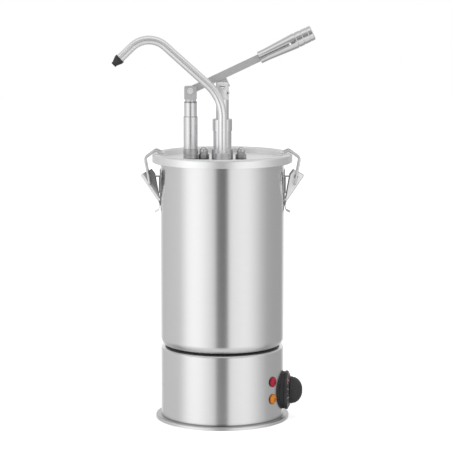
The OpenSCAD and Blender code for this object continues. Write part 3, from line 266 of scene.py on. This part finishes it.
def lens_surface(name, colour, core, z):
    """A moulded lens: rings round its axis, darker over the lamp behind its middle and at its rim."""
    m, tree, bsdf = principled(name)
    wound = coordinates(tree, radial(LAMP_ANGLE, 1 / MM, 0), radial(LAMP_ANGLE, BODY_R, z))
    away = split(tree, wound)[1]
    rings = math_node(tree, "SINE", math_node(tree, "MULTIPLY", away, LENS_RING_PITCH))
    ringed = math_node(tree, "ADD", math_node(tree, "MULTIPLY", away, LENS_MIDDLE),
                       math_node(tree, "MULTIPLY", rings, LENS_RING_SHARE))
    flecks = math_node(tree, "SUBTRACT", noise(tree, coordinates(tree), LENS_FLECKS), 0.5)
    both = math_node(tree, "ADD", ringed, math_node(tree, "MULTIPLY", flecks, LENS_FLECK_SHARE))
    colours = (core, colour, colour, scaled(core, LENS_RIM))
    link(tree, ramp(tree, both, list(zip(LENS_STOPS, colours))), bsdf.inputs["Base Color"])
    bsdf.inputs["Roughness"].default_value = LENS_ROUGH
    bsdf.inputs["Specular IOR Level"].default_value = LENS_SPECULAR
    add_bump(tree, bsdf, rings, LENS_BUMP, LENS_BUMP_SIZE)
    return m


BRUSHED_GRAIN = dict(axis=UP, stretch=(6, 40, 2600), bump=0.04)
BRUSHING = dict(vary=0.035, rough_vary=0.02, wear=0.15, aniso=0.75, **BRUSHED_GRAIN)
brushed = surface("brushed_steel", STEEL, 0.24, 1, **BRUSHING)
# Painted shade along the housing's foot, in the groove where it meets the foot ring
housing_steel = surface("housing_steel", STEEL, 0.24, 1, painted_shade=[(UP, [(5.2, 0.45), (6.0, 0.6), (6.8, 1)])],
                        **BRUSHING)
# Painted shade on the foot ring's top ledge, where the flat ledge would mirror the bright wall
foot_steel = surface("foot_steel", STEEL, 0.3, 1, vary=0.04, rough_vary=0.03,
                     painted_shade=[(UP, [(4.2, 1), (5.0, 0.72), (5.3, 0.66)])], **BRUSHED_GRAIN)
lid_steel = surface("lid_steel", (0.93, 0.93, 0.935), 0.38, 1, axis=UP, stretch=(5, 1800, 900), vary=0.03,
                    rough_vary=0.04, bump=0.04, wear=0.35)

# The pump's turned pieces, with the dark lines where one step shades another: height and share
TURNED = dict(axis=UP, stretch=(8, 60, 1500), rough_vary=0.03, bump=0.03)
POST_SHADOWS = [(LID_Z, 0.3), (LID_Z + 1.2, 0.6), (LID_Z + 2, 0.85), (LID_Z + 13, 0.8), (LID_Z + 14, 0.6),
                (LID_Z + 14.8, 1), (432.6, 1), (433.6, 0.6), (434.4, 1), (452.6, 1), (454, 0.4), (455, 0.35)]
NUT_SHADOWS = [(LID_Z, 0.25), (LID_Z + 2, 0.7), (LID_Z + 8, 0.85), (LID_Z + 12, 1)]
polished = surface("polished_steel", (0.76, 0.76, 0.77), 0.18, 1, vary=0.03, plate_from=457, **TURNED)
post_steel = surface("post_steel", (0.76, 0.76, 0.77), 0.3, 1, centre=(FULCRUM[0], 0, 0), vary=0.04,
                     painted_shade=[(UP, POST_SHADOWS)], **TURNED)
# Painted shade at the block's foot, where it stands on the lid
block_steel = surface("block_steel", (0.7, 0.7, 0.71), 0.34, 1, vary=0.04,
                      painted_shade=[(UP, [(LID_Z, 0.4), (LID_Z + 1.5, 1)])], **TURNED)
nut_steel = surface("nut_steel", (0.7, 0.7, 0.71), 0.12, 1, stretch=(500, 500, 500), vary=0.08,
                    rough_vary=0.04, bump=0.04, painted_shade=[(UP, NUT_SHADOWS)])
spout_steel = surface("spout_steel", (0.86, 0.86, 0.865), 0.28, 0.85, stretch=(200, 200, 200), vary=0.02,
                      rough_vary=0.01, wear=0.5)
pin_steel = surface("pin_steel", (0.66, 0.66, 0.67), 0.4, 0.7, stretch=(1200, 1200, 1200), vary=0.08,
                    rough_vary=0.06, bump=0.1, wear=0.4)
screw_steel = surface("screw_steel", (0.86, 0.86, 0.87), 0.5, 0.4, stretch=(1200, 1200, 1200), vary=0.08,
                      rough_vary=0.08, bump=0.1)

# The latches' folded levers, with painted shade in the folds and over the shaded left lever
LATCH_SHEET = dict(stretch=(500, 1800, 220), rough_vary=0.06, bump=0.05)
LATCH_INNER_SHADE = [(0, 0.22), (0.8, 0.3), (1.3, 1)]
LEFT_FOLD_SHADE = [(0, 0.9), (1.5, 1), (1.9, 0.7), (2.3, 1), (3.3, 0.95), (4, 0.5), (6.5, 0.3), (9, 0.2),
             (20, 0.2)]
latch_shaded_left = surface("latch_shaded_left", (0.92, 0.92, 0.925), 0.45, 0.15, vary=0.12, wear=0.8,
                     painted_shade=[beside((-115.7, 350.4), (-91, 312.7), LEFT_FOLD_SHADE)], **LATCH_SHEET)
latch_lit_right = surface("latch_lit_right", (0.92, 0.92, 0.925), 0.5, 0.15, vary=0.05, wear=0.6, painted_shade=[
    beside((91, 312.7), (115.7, 350.4), [(0, 0.45), (0.4, 0.6), (0.9, 1)]),
    beside((95.6, 351.3), (89.4, 316.3), LATCH_INNER_SHADE),
    beside((100.6, 358.1), (95.6, 351.3), LATCH_INNER_SHADE)], **LATCH_SHEET)
bracket_steel = surface("bracket_steel", (0.58, 0.58, 0.59), 0.26, 1, vary=0.1, **LATCH_SHEET)
wire_steel = surface("wire_steel", (0.78, 0.78, 0.79), 0.3, 1, vary=0.1, rough_vary=0.06, bump=0.1)

# The other pieces
plain_steel = surface("plain_steel", (0.6, 0.6, 0.61), 0.38, 1, vary=0.08, rough_vary=0.08, bump=0.1,
                      wear=0.5)
shade_steel = surface("shade_steel", (0.2, 0.2, 0.2), 0.5, 0.3, vary=0.2, rough_vary=0.1, bump=0.1)
bar_steel = surface("bar_steel", (0.6, 0.6, 0.605), 0.42, 0.75, axis=LEVER, centre=FULCRUM,
                    stretch=(3, 900, 120), vary=0.05, bump=0.1, wear=0.4)
grip_steel = surface("grip_steel", (0.82, 0.82, 0.83), 0.2, 1, axis=LEVER, centre=FULCRUM,
                     stretch=(5, 300, 1300), vary=0.05, rough_vary=0.03)
aluminium = surface("turned_aluminium", (0.62, 0.62, 0.64), 0.34, 1, axis=UP, stretch=(4, 2500, 400),
                    bump=0.2)
element_steel = surface("element_steel", (0.19, 0.175, 0.165), 0.5, 1, stretch=(400, 400, 400), vary=0.25,
                        rough_vary=0.1, bump=0.2, wear=0.4)
rubber = surface("black_rubber", (0.02, 0.02, 0.021), 0.42, vary=0.25, rough_vary=0.1, bump=0.2,
                 bump_size=0.00003)
# Black of the seat seal, also the painted shade in the screws' recesses
seal_and_shade_black = surface("seal_and_shade_black", (0.012, 0.012, 0.012), 0.5, stretch=(500, 500, 500), vary=0.2,
                     rough_vary=0.08, bump=0.1)
plastic = surface("black_plastic", (0.03, 0.03, 0.031), 0.48, stretch=(1400, 1400, 1400), vary=0.15,
                  rough_vary=0.07, bump=0.25, specular=0.32)
dial_face = surface("dial_face", (0.034, 0.034, 0.036), 0.34, vary=0.1, bump=0.1, specular=0.4)
white_plastic = surface("white_plastic", (0.72, 0.71, 0.67), 0.4, stretch=(700, 700, 700), vary=0.04,
                        bump=0.1)
insulation = surface("insulation", (0.66, 0.61, 0.47), 0.9, stretch=(300, 300, 1200), detail=6.0,
                     vary=0.2, bump=0.8, bump_size=0.0004, wear=0.0)
copper = surface("copper", (0.72, 0.4, 0.26), 0.28, 1, stretch=(600, 600, 600), vary=0.1, rough_vary=0.08,
                 bump=0.1, wear=0.5)
red_lens = lens_surface("red_lens", (0.38, 0.006, 0.028), (0.13, 0.002, 0.012), LAMP_Z + LAMP_GAP / 2)
amber_lens = lens_surface("amber_lens", (0.62, 0.205, 0.006), (0.26, 0.055, 0.003), LAMP_Z - LAMP_GAP / 2)
mark_white = surface("mark_white", (0.5, 0.5, 0.5), 0.45, vary=0.05)
mark_red = surface("mark_red", (0.34, 0.05, 0.11), 0.45, vary=0.05)

FINISH = {
    brushed: "pot",
    housing_steel: "base_housing",
    foot_steel: "foot_ring",
    lid_steel: "lid",
    polished: "piston_rod column_tube column_collar",
    post_steel: "post",
    block_steel: "pump_block",
    nut_steel: "cap_nuts",
    spout_steel: "spout",
    pin_steel: "fulcrum_fork",
    screw_steel: "fulcrum_pin",
    bracket_steel: "latch_brackets latch_rivets",
    latch_shaded_left: "latch_lever_left",
    latch_lit_right: "latch_lever_right",
    wire_steel: "latch_bail_right latch_bail_left",
    plain_steel: "floor_plate floor_screws element_clamp heat_shield centre_stud stud_nut thermostat_mount "
                 "thermostat_screws thermostat_shaft pump_plate pump_cylinder return_spring valve_block "
                 "suction_ball discharge_ball riser_tube",
    bar_steel: "lever_bar",
    grip_steel: "handle_grip",
    aluminium: "heating_plate",
    element_steel: "heating_element",
    rubber: "anti_slip_ring lid_gasket piston_seals nozzle",
    seal_and_shade_black: "seat_seal",
    plastic: "dial_base control_knob thermostat_body thermal_cutout cable_gland gland_nut",
    dial_face: "dial_plate",
    white_plastic: "rod_bush spring_seat piston lamp_bodies terminal_block",
    insulation: "insulation_disc",
    copper: "thermostat_bulb",
    red_lens: "red_lens",
    amber_lens: "amber_lens",
}
for finish, names in FINISH.items():
    for name in names.split():
        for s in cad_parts[name].material_slots:
            s.link = "OBJECT"
            s.material = finish


# Studio
CAMERA_PLACE = (0.0052, -2.9, 0.6793)
CAMERA_PITCH = 7.9
WORLD_DIFFUSE, WORLD_SEEN = 0.75, 1.0
scene.view_settings.view_transform = "Standard"
camera_data = bpy.data.cameras.new("camera")
camera_data.sensor_width = 36.0
camera_data.lens = 163.4
camera_data.clip_end = 50
camera = bpy.data.objects.new("camera", camera_data)
camera.location = CAMERA_PLACE
camera.rotation_euler = (math.radians(90 - CAMERA_PITCH), 0, 0)
scene.collection.objects.link(camera)
scene.camera = camera


def studio_world():
    """A world that is white where it is seen or mirrored, and lights the object with less."""
    world = bpy.data.worlds.new("studio")
    world.use_nodes = True
    scene.world = world
    tree = world.node_tree
    tree.nodes.clear()
    out = node(tree, "ShaderNodeOutputWorld")
    path = node(tree, "ShaderNodeLightPath")
    seen = math_node(tree, "ADD", path.outputs["Is Camera Ray"], path.outputs["Is Glossy Ray"])
    seen = math_node(tree, "ADD", seen, path.outputs["Is Transmission Ray"])
    mix = node(tree, "ShaderNodeMixShader")
    link(tree, math_node(tree, "MINIMUM", seen, 1.0), mix.inputs[0])
    for socket, strength in ((mix.inputs[1], WORLD_DIFFUSE), (mix.inputs[2], WORLD_SEEN)):
        light = node(tree, "ShaderNodeBackground")
        light.inputs[0].default_value = (1, 1, 1, 1)
        light.inputs[1].default_value = strength
        link(tree, light.outputs[0], socket)
    link(tree, mix.outputs[0], out.inputs[0])


studio_world()


def add_mesh(name, verts, faces, material=None, smooth=True):
    mesh = bpy.data.meshes.new(name)
    mesh.from_pydata([tuple(v) for v in verts], [], faces)
    mesh.update()
    for p in mesh.polygons:
        p.use_smooth = smooth
    obj = bpy.data.objects.new(name, mesh)
    scene.collection.objects.link(obj)
    if material:
        mesh.materials.append(material)
    return obj


# The graded wall that the metal mirrors: degrees from the front, left negative, and brightness
WALL = [(-180, .9), (-168, .95), (-156, .9), (-148, .6), (-116, .69), (-97, .73), (-84, .78), (-72, 1.05),
        (-66, 1.2), (-55, 1.3), (-42, 1.27), (-31, 1.12), (-20, .92), (-13.5, .74), (-9.5, .24), (-6, .17),
        (4, .13), (8, .2), (11, .6), (13, .95), (20, 1.04), (38, 1.12), (50, 1.08), (62, .9), (76, .66),
        (91, .5), (108, .45), (146, .42), (156, .9), (168, .95), (180, .9)]
# The same by the rise above the front, over the top to the back, for what lies or leans
RISE = [(-180, .9), (-150, .5), (-115, .34), (-95, .38), (-80, .7), (-35, .8), (-12, .72), (2, .6),
        (12, .38), (36, .34), (50, .46), (62, .9), (80, .95), (98, .55), (130, .6), (165, .9), (180, .9)]
WALL_R = 4.0
WALL_LOW, WALL_TOP = -3.0, 3.6
WALL_STEPS = 96
BLEND_FROM, BLEND_TO = 0.22, 0.5


def by_angle(tree, x, y, stops):
    """A ramp by the angle in degrees that two coordinates make."""
    turn = math_node(tree, "DIVIDE", math_node(tree, "ARCTAN2", x, y), 2 * math.pi)
    share = math_node(tree, "ADD", turn, 0.5)
    return ramp(tree, share, [((d + 180) / 360, (v, v, v)) for d, v in stops])


def studio_paint(tree):
    """The wall's bands near the level of the eye, blending to the bands by rise above and below it."""
    x, y, z = split(tree, coordinates(tree))
    front = math_node(tree, "MULTIPLY", y, -1.0)
    steep = math_node(tree, "DIVIDE", math_node(tree, "ABSOLUTE", z), distance(tree, x, y))
    blend = node(tree, "ShaderNodeMix", data_type="RGBA")
    link(tree, spread(tree, steep, 0.0, 1.0, BLEND_FROM, BLEND_TO), blend.inputs["Factor"])
    link(tree, by_angle(tree, x, front, WALL), blend.inputs["A"])
    link(tree, by_angle(tree, z, front, RISE), blend.inputs["B"])
    return blend.outputs["Result"]


def studio_card(name, verts, faces):
    """A glowing card that only mirrored rays see."""
    card = add_mesh(name, verts, faces)
    m, tree = new_material(name)
    glow = node(tree, "ShaderNodeEmission")
    link(tree, studio_paint(tree), glow.inputs[0])
    out = node(tree, "ShaderNodeOutputMaterial")
    link(tree, glow.outputs[0], out.inputs[0])
    card.data.materials.append(m)
    for flag in ("visible_camera", "visible_diffuse", "visible_transmission", "visible_shadow"):
        setattr(card, flag, False)


def ring_points(radius, z, steps):
    return [(radius * math.cos(a), radius * math.sin(a), z)
            for a in (2 * math.pi * i / steps for i in range(steps))]


def band_faces(steps):
    """Faces between two rings of points, the first ring's numbers before the second's."""
    return [(i, (i + 1) % steps, steps + (i + 1) % steps, steps + i) for i in range(steps)]


low = ring_points(WALL_R, WALL_LOW, WALL_STEPS)
top = ring_points(WALL_R, WALL_TOP, WALL_STEPS)
disc = [tuple(range(WALL_STEPS))]
studio_card("studio_wall", low + top, band_faces(WALL_STEPS))
studio_card("studio_ceiling", top, disc)
studio_card("studio_floor_card", low, disc)

FLOOR_HALF = 6
FLOOR_GRAIN = (3, 3, 3)
FLOOR_GREYS = (0.84, 0.86)
FLOOR_GLOW = 0.5


def floor_material():
    """Matte and near white, with a glow that only the camera sees, so that the shadow stays light."""
    m, tree = new_material("floor")
    out = node(tree, "ShaderNodeOutputMaterial")
    matte = node(tree, "ShaderNodeBsdfDiffuse")
    greys = [(i, (grey, grey, grey)) for i, grey in enumerate(FLOOR_GREYS)]
    link(tree, ramp(tree, noise(tree, coordinates(tree), FLOOR_GRAIN), greys), matte.inputs[0])
    glow = node(tree, "ShaderNodeEmission")
    path = node(tree, "ShaderNodeLightPath")
    link(tree, math_node(tree, "MULTIPLY", path.outputs["Is Camera Ray"], FLOOR_GLOW), glow.inputs[1])
    both = node(tree, "ShaderNodeAddShader")
    link(tree, matte.outputs[0], both.inputs[0])
    link(tree, glow.outputs[0], both.inputs[1])
    link(tree, both.outputs[0], out.inputs[0])
    return m


corners = [(x * FLOOR_HALF, y * FLOOR_HALF, 0) for x, y in ((-1, -1), (1, -1), (1, 1), (-1, 1))]
floor = add_mesh("floor", corners, [(0, 1, 2, 3)], floor_material())
floor.visible_glossy = False


def softbox(name, spot, aim, size, power):
    data = bpy.data.lights.new(name, "AREA")
    data.shape = "RECTANGLE"
    data.size, data.size_y = size
    data.energy = power
    obj = bpy.data.objects.new(name, data)
    obj.location = spot
    obj.rotation_euler = (Vector(aim) - Vector(spot)).to_track_quat("-Z", "Y").to_euler()
    obj.visible_glossy = False
    scene.collection.objects.link(obj)


softbox("softbox_left", (-1.9, -1.8, 1.7), (0, 0, 0.3), (1.3, 1.3), 26)
softbox("softbox_right", (2.1, -1.5, 1.5), (0, 0, 0.3), (1.2, 1.2), 16)


# Pieces
def place(obj, body):
    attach(obj, body)
    return obj


SHARP = math.radians(40)


def joined(name, shapes, material, smooth=True):
    """One mesh from several (points, faces) shapes."""
    verts, faces = [], []
    for points, polys in shapes:
        start = len(verts)
        verts += points
        faces += [tuple(start + i for i in p) for p in polys]
    obj = add_mesh(name, verts, faces, material, smooth)
    bm = bmesh.new()
    bm.from_mesh(obj.data)
    bmesh.ops.recalc_face_normals(bm, faces=bm.faces)
    bm.to_mesh(obj.data)
    bm.free()
    if smooth:
        obj.data.set_sharp_from_angle(angle=SHARP)
    return obj


def tube(points, radius, sides=20):
    """A round wire along a smooth list of points, closed at both ends."""
    verts, rings = [], len(points)
    side = (points[1] - points[0]).orthogonal()
    for i, p in enumerate(points):
        along = (points[min(i + 1, rings - 1)] - points[max(i - 1, 0)]).normalized()
        side = (side - along * side.dot(along)).normalized()
        other = along.cross(side)
        for k in range(sides):
            a = 2 * math.pi * k / sides
            verts.append(p + radius * (math.cos(a) * side + math.sin(a) * other))
    faces = [tuple(i * sides + j for j in face) for i in range(rings - 1) for face in band_faces(sides)]
    faces += [tuple(range(sides)), tuple((rings - 1) * sides + k for k in range(sides))]
    return verts, faces


def rounded_path(corners, bends, steps=8, room=0.49):
    """Straight lines from corner to corner, each corner rounded by an arc of its own radius.

    An arc takes no more than the share room of the lines beside it.
    """
    path = [corners[0]]
    for before, here, after, bend in zip(corners, corners[1:], corners[2:], bends):
        u, v = (before - here).normalized(), (after - here).normalized()
        half = u.angle(v) / 2
        reach = min(bend / math.tan(half), room * (before - here).length, room * (after - here).length)
        radius = reach * math.tan(half)
        centre = here + (u + v).normalized() * radius / math.sin(half)
        first = (here + u * reach - centre).normalized()
        last = (here + v * reach - centre).normalized()
        for k in range(steps + 1):
            path.append(centre + first.slerp(last, k / steps) * radius)
    return path + [corners[-1]]


# The lid clamp wires, round where the solids have eight sides
WIRE_R = 1.5
WIRE_BEND = 4
BAIL_Y = 12
BAIL_END_Y = 7.9
BAIL_CORNERS = [(103.0, 338.0), (109.8, 374.9), (94.5, 386.3), (84.4, 381.8)]


def bail_wire(side):
    near = [Vector((side * x, BAIL_Y, z)) for x, z in BAIL_CORNERS]
    end = Vector((near[0].x, BAIL_END_Y, near[0].z))
    half = [end] + near
    corners = half + [Vector((p.x, -p.y, p.z)) for p in reversed(half)]
    points = [p * MM for p in rounded_path(corners, [WIRE_BEND] * len(corners))]
    return tube(points, WIRE_R * MM)


for side, name in ((1, "right"), (-1, "left")):
    wire = joined("bail_wire_" + name, [bail_wire(side)], wire_steel)
    place(wire, "bail_" + name)
    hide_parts("latch_bail_" + name)


# The spout, a hollow tube with finer sides than its solid
SPOUT_Y = -21
SPOUT_CORNERS = [(0, 381.2), (0, 461.76), (-103.564, 555.009), (-145.357, 514.65)]
SPOUT_BENDS = (61.9, 34.1)
SPOUT_OUTER, SPOUT_INNER = 6.2, 5.0
SPOUT_SIDES = 48
SPOUT_STEPS = 40
SPOUT_ROOM = 0.6


def spout_tube():
    """Two tubes, one in the other, with a ring of faces for their caps at each end."""
    corners = [Vector((x, SPOUT_Y, z)) for x, z in SPOUT_CORNERS]
    points = [p * MM for p in rounded_path(corners, SPOUT_BENDS, SPOUT_STEPS, SPOUT_ROOM)]
    outer, walls = tube(points, SPOUT_OUTER * MM, SPOUT_SIDES)
    inner, bore = tube(points, SPOUT_INNER * MM, SPOUT_SIDES)
    shift = len(outer)
    ends = [(e + k, e + (k + 1) % SPOUT_SIDES, shift + e + (k + 1) % SPOUT_SIDES, shift + e + k)
            for e in (0, shift - SPOUT_SIDES) for k in range(SPOUT_SIDES)]
    return outer + inner, walls[:-2] + [tuple(shift + i for i in f) for f in bore[:-2]] + ends


spout = place(joined("spout_tube", [spout_tube()], spout_steel), "container")
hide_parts("spout")

# The return spring, with a mesh of its own; on the pump it shortens as the piston goes down
COILS = 9
COIL_R, COIL_WIRE_R = 9.4, 1.0
COIL_SEAT, COIL_FOOT, COIL_TOP = 345, 346.3, 414.7
COIL_STEPS, COIL_SIDES = 32, 10


def coil_line():
    points = []
    for i in range(COILS * COIL_STEPS + 1):
        turn = 2 * math.pi * i / COIL_STEPS
        rise = COIL_FOOT + (COIL_TOP - COIL_FOOT) * i / (COILS * COIL_STEPS)
        points.append(Vector((COIL_R * math.cos(turn), COIL_R * math.sin(turn), rise)) * MM)
    return points


coil = tube(coil_line(), COIL_WIRE_R * MM, COIL_SIDES)
spring = place(joined("return_coil", [coil], plain_steel), "container")
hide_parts("return_spring")
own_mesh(spring)


# Marks of the dial, on the slope of its plate
DIAL_FRAME = (Matrix.Translation((0, 0, DIAL_Z * MM)) @ Matrix.Rotation(math.radians(-DIAL_ANGLE), 4, "Z")
              @ Matrix.Rotation(math.radians(90), 4, "Y") @ Matrix.Scale(MM, 4))
SLOPE_R, SLOPE_Z = 27.9, 94.5
SLOPE_W, SLOPE_H = 6.0, 3.2
SLOPE_LEN = math.hypot(SLOPE_W, SLOPE_H)
MARK_RISE, MARK_SINK = 0.12, 0.1


def on_slope(turn, share, lift, across=0.0):
    """A point of the dial's slope, by its turn and its share of the way in.

    The turn is in degrees from the top towards the front, lift is off the slope, across is along it.
    """
    r = SLOPE_R - SLOPE_W * share + lift * SLOPE_H / SLOPE_LEN
    z = SLOPE_Z + SLOPE_H * share + lift * SLOPE_W / SLOPE_LEN
    a = math.radians(turn)
    out, round_it = Vector((-math.cos(a), -math.sin(a), 0)), Vector((math.sin(a), -math.cos(a), 0))
    return DIAL_FRAME @ (out * r + round_it * across + Vector((0, 0, z)))


BOX_FACES = [(0, 1, 3, 2), (4, 6, 7, 5), (0, 4, 5, 1), (2, 3, 7, 6), (0, 2, 6, 4), (1, 5, 7, 3)]


def slope_bar(turn, start, end, width):
    """A printed bar between two places (across, share) of the slope at one turn."""
    (x0, s0), (x1, s1) = start, end
    run = Vector((x1 - x0, (s1 - s0) * SLOPE_LEN)).normalized() * width / 2
    side = Vector((-run.y, run.x / SLOPE_LEN))
    verts = [on_slope(turn, s + k * side.y, lift, x + k * side.x)
             for x, s in ((x0, s0), (x1, s1)) for k in (-1, 1) for lift in (-MARK_SINK, MARK_RISE)]
    return verts, BOX_FACES


# Strokes of plain figures in a box one wide and one high
BARS = {"top": (0, 1, 1, 1), "high_right": (1, 1, 1, .5), "low_right": (1, .5, 1, 0), "bottom": (1, 0, 0, 0),
        "low_left": (0, 0, 0, .5), "high_left": (0, .5, 0, 1), "middle": (0, .5, 1, .5)}
FIGURES = {
    0: "top high_right low_right bottom low_left high_left", 1: "high_right low_right",
    2: "top high_right middle low_left bottom", 3: "top high_right middle low_right bottom",
    4: "high_left middle high_right low_right", 5: "top high_left middle low_right bottom",
    6: "top high_left middle low_left bottom low_right", 7: "top high_right low_right",
    8: "top high_right low_right bottom low_left high_left middle",
    9: "middle high_left top high_right low_right bottom",
}
FIGURE_W, STROKE_W = 1.1, 0.34
FIGURE_FROM, FIGURE_TO = 0.82, 0.46
TICK_FROM, TICK_TO, TICK_W = 0.1, 0.36, 0.7
HALF_TICK_TO, HALF_TICK_W = 0.24, 0.4
SCALE_TURN = 270
SCALE_STEP = SCALE_TURN / 9


def figure_point(x, y):
    return (x - 0.5) * FIGURE_W, FIGURE_FROM + (FIGURE_TO - FIGURE_FROM) * y


marks = []
for i, strokes in FIGURES.items():
    turn = i * SCALE_STEP - SCALE_TURN / 2
    marks.append(slope_bar(turn, (0, TICK_FROM), (0, TICK_TO), TICK_W))
    if i:
        marks.append(slope_bar(turn - SCALE_STEP / 2, (0, TICK_FROM), (0, HALF_TICK_TO), HALF_TICK_W))
    for bar in strokes.split():
        x0, y0, x1, y1 = BARS[bar]
        marks.append(slope_bar(turn, figure_point(x0, y0), figure_point(x1, y1), STROKE_W))
place(joined("dial_scale", marks, mark_white, smooth=False), "base")


def slope_band(first, last, outer, inner, steps=16):
    """A printed band between two turns of the slope and two shares of the way in."""
    turns = [first + (last - first) * i / steps for i in range(steps + 1)]
    verts = [on_slope(a, s, lift) for a in turns for s in (outer, inner) for lift in (-MARK_SINK, MARK_RISE)]
    faces = [(0, 1, 3, 2), (4 * steps, 4 * steps + 2, 4 * steps + 3, 4 * steps + 1)]
    for j in range(0, 4 * steps, 4):
        k = j + 4
        faces += [(j, k, k + 1, j + 1), (j + 2, j + 3, k + 3, k + 2)]
        faces += [(j + 1, k + 1, k + 3, j + 3), (j, j + 2, k + 2, k)]
    return verts, faces


RED_FROM, RED_TO = 32, 60
RED_OUTER, RED_INNER = 0.04, 0.4
red_band = slope_band(RED_FROM, RED_TO, RED_OUTER, RED_INNER)
place(joined("dial_red_band", [red_band], mark_red, smooth=False), "base")

# The fine red line round the foot of the knob's dome
KNOB_LINE_R, KNOB_LINE_Z = 19.2, 100.95
KNOB_LINE_FROM, KNOB_LINE_TO, KNOB_LINE_STEP = 36, 76, 2
KNOB_LINE_W, KNOB_LINE_SIDES = 0.28, 10
line = [DIAL_FRAME @ Vector((-KNOB_LINE_R * math.cos(a), -KNOB_LINE_R * math.sin(a), KNOB_LINE_Z))
        for a in map(math.radians, range(KNOB_LINE_FROM, KNOB_LINE_TO + 1, KNOB_LINE_STEP))]
red_line = tube(line, KNOB_LINE_W / 2 * MM, KNOB_LINE_SIDES)
place(joined("knob_line", [red_line], mark_red), "knob")

# Painted shade in the pump's screw recesses and in dark rings round the screws and pin: places and faces in
# millimetres
LINK_PLACE, LINK_FACE = (0, 476.8), -11.2
LOCK_PLACE, LOCK_FACE = (7.4, 467.2), -7.2
PIN_PLACE, PIN_FACE = (FULCRUM[0] / MM, FULCRUM[2] / MM), -9.5
SLOT_W, SLOT_H = 7.0, 0.9
SLOT_FRONT, SLOT_BACK = -10.75, -10.55
SOCKET_R, SOCKET_Y, SOCKET_DEPTH = 1.08, -6.6, 0.2
SOCKET_SIDES = 32
# Each ring's place, radius, face and wire
SCREW_SHADE_RINGS = [(LINK_PLACE, 3.3, LINK_FACE, 0.14), (LOCK_PLACE, 2.2, LOCK_FACE, 0.12)]
PIN_SHADE_RINGS = [(PIN_PLACE, 2.7, PIN_FACE, 0.16), (PIN_PLACE, 1.1, PIN_FACE, 0.14)]
RING_STEPS, RING_SIDES = 48, 8


def front_box(spot, width, height, front, back):
    """A box about a place (x, z), between two distances from the front."""
    x, z = spot
    return [Vector((x + sx * width / 2, y, z + sz * height / 2)) * MM
            for sx in (-1, 1) for y in (front, back) for sz in (-1, 1)], BOX_FACES


def front_disc(spot, radius, y, depth, sides):
    """A round plate about a place (x, z), its face at y."""
    x, z = spot
    circle = ring_points(radius, 0, sides)
    verts = [Vector((x + dx, y + back, z + dz)) * MM for back in (0, depth) for dx, dz, _ in circle]
    return verts, band_faces(sides) + [tuple(range(sides)), tuple(range(sides, 2 * sides))]


def front_ring(spot, radius, y, wire):
    """A closed ring of wire about a place (x, z), lying in the plane at y."""
    x, z = spot
    circle = ring_points(radius, 0, RING_STEPS)
    line = [Vector((x + dx, y, z + dz)) * MM for dx, dz, _ in circle + circle[:1]]
    return tube(line, wire * MM, RING_SIDES)


link_slot_shade = front_box(LINK_PLACE, SLOT_W, SLOT_H, SLOT_FRONT, SLOT_BACK)
place(joined("link_screw_slot_shade", [link_slot_shade], seal_and_shade_black, smooth=False), "piston")
lock_socket_shade = front_disc(LOCK_PLACE, SOCKET_R, SOCKET_Y, SOCKET_DEPTH, SOCKET_SIDES)
place(joined("lock_screw_socket_shade", [lock_socket_shade], seal_and_shade_black, smooth=False), "piston")
screw_shade_rings = [front_ring(*ring) for ring in SCREW_SHADE_RINGS]
place(joined("screw_shade_rings", screw_shade_rings, shade_steel), "piston")
pin_shade_rings = [front_ring(*ring) for ring in PIN_SHADE_RINGS]
place(joined("pin_shade_ring", pin_shade_rings, shade_steel), "container")

# Grip ribs of the cable gland's dome nut
GLAND_Z = 32
GLAND_R = 9.5
RIBS = 16
RIB_W, RIB_TOP_W = 1.6, 0.96
RIB_SINK, RIB_H = 0.3, 0.45
RIB_FROM, RIB_TO = 93.2, 98.3


def gland_rib(turn):
    out, across = Vector((math.cos(turn), 0, math.sin(turn))), Vector((-math.sin(turn), 0, math.cos(turn)))
    foot = (Vector((0, 0, GLAND_Z)) + out * (GLAND_R - RIB_SINK), RIB_W)
    top = (Vector((0, 0, GLAND_Z)) + out * (GLAND_R + RIB_H), RIB_TOP_W)
    verts = [(at + across * side * width / 2 + Vector((0, y, 0))) * MM
             for y in (RIB_FROM, RIB_TO) for side in (-1, 1) for at, width in (foot, top)]
    return verts, BOX_FACES


ribs = [gland_rib(2 * math.pi * i / RIBS) for i in range(RIBS)]
place(joined("gland_ribs", ribs, plastic, smooth=False), "base")

# Painted shade in the cross recesses of the screws under the base
SCREWS = 4
SCREW_TURN = 45
SCREW_RING_R = 79.5
HEAD_Z = 0.8
CROSS = (3.8, 1.0)
CROSS_RISE, CROSS_SINK = 0.04, 0.3
cross_shades = []
for i in range(SCREWS):
    spot = radial(SCREW_TURN + 360 / SCREWS * i, SCREW_RING_R, HEAD_Z)
    for w, d in (CROSS, CROSS[::-1]):
        verts = [spot + Vector((sx * w / 2, sy * d / 2, z)) * MM
                 for sx in (-1, 1) for sy in (-1, 1) for z in (-CROSS_RISE, CROSS_SINK)]
        cross_shades.append((verts, BOX_FACES))
place(joined("screw_cross_shades", cross_shades, seal_and_shade_black, smooth=False), "base")
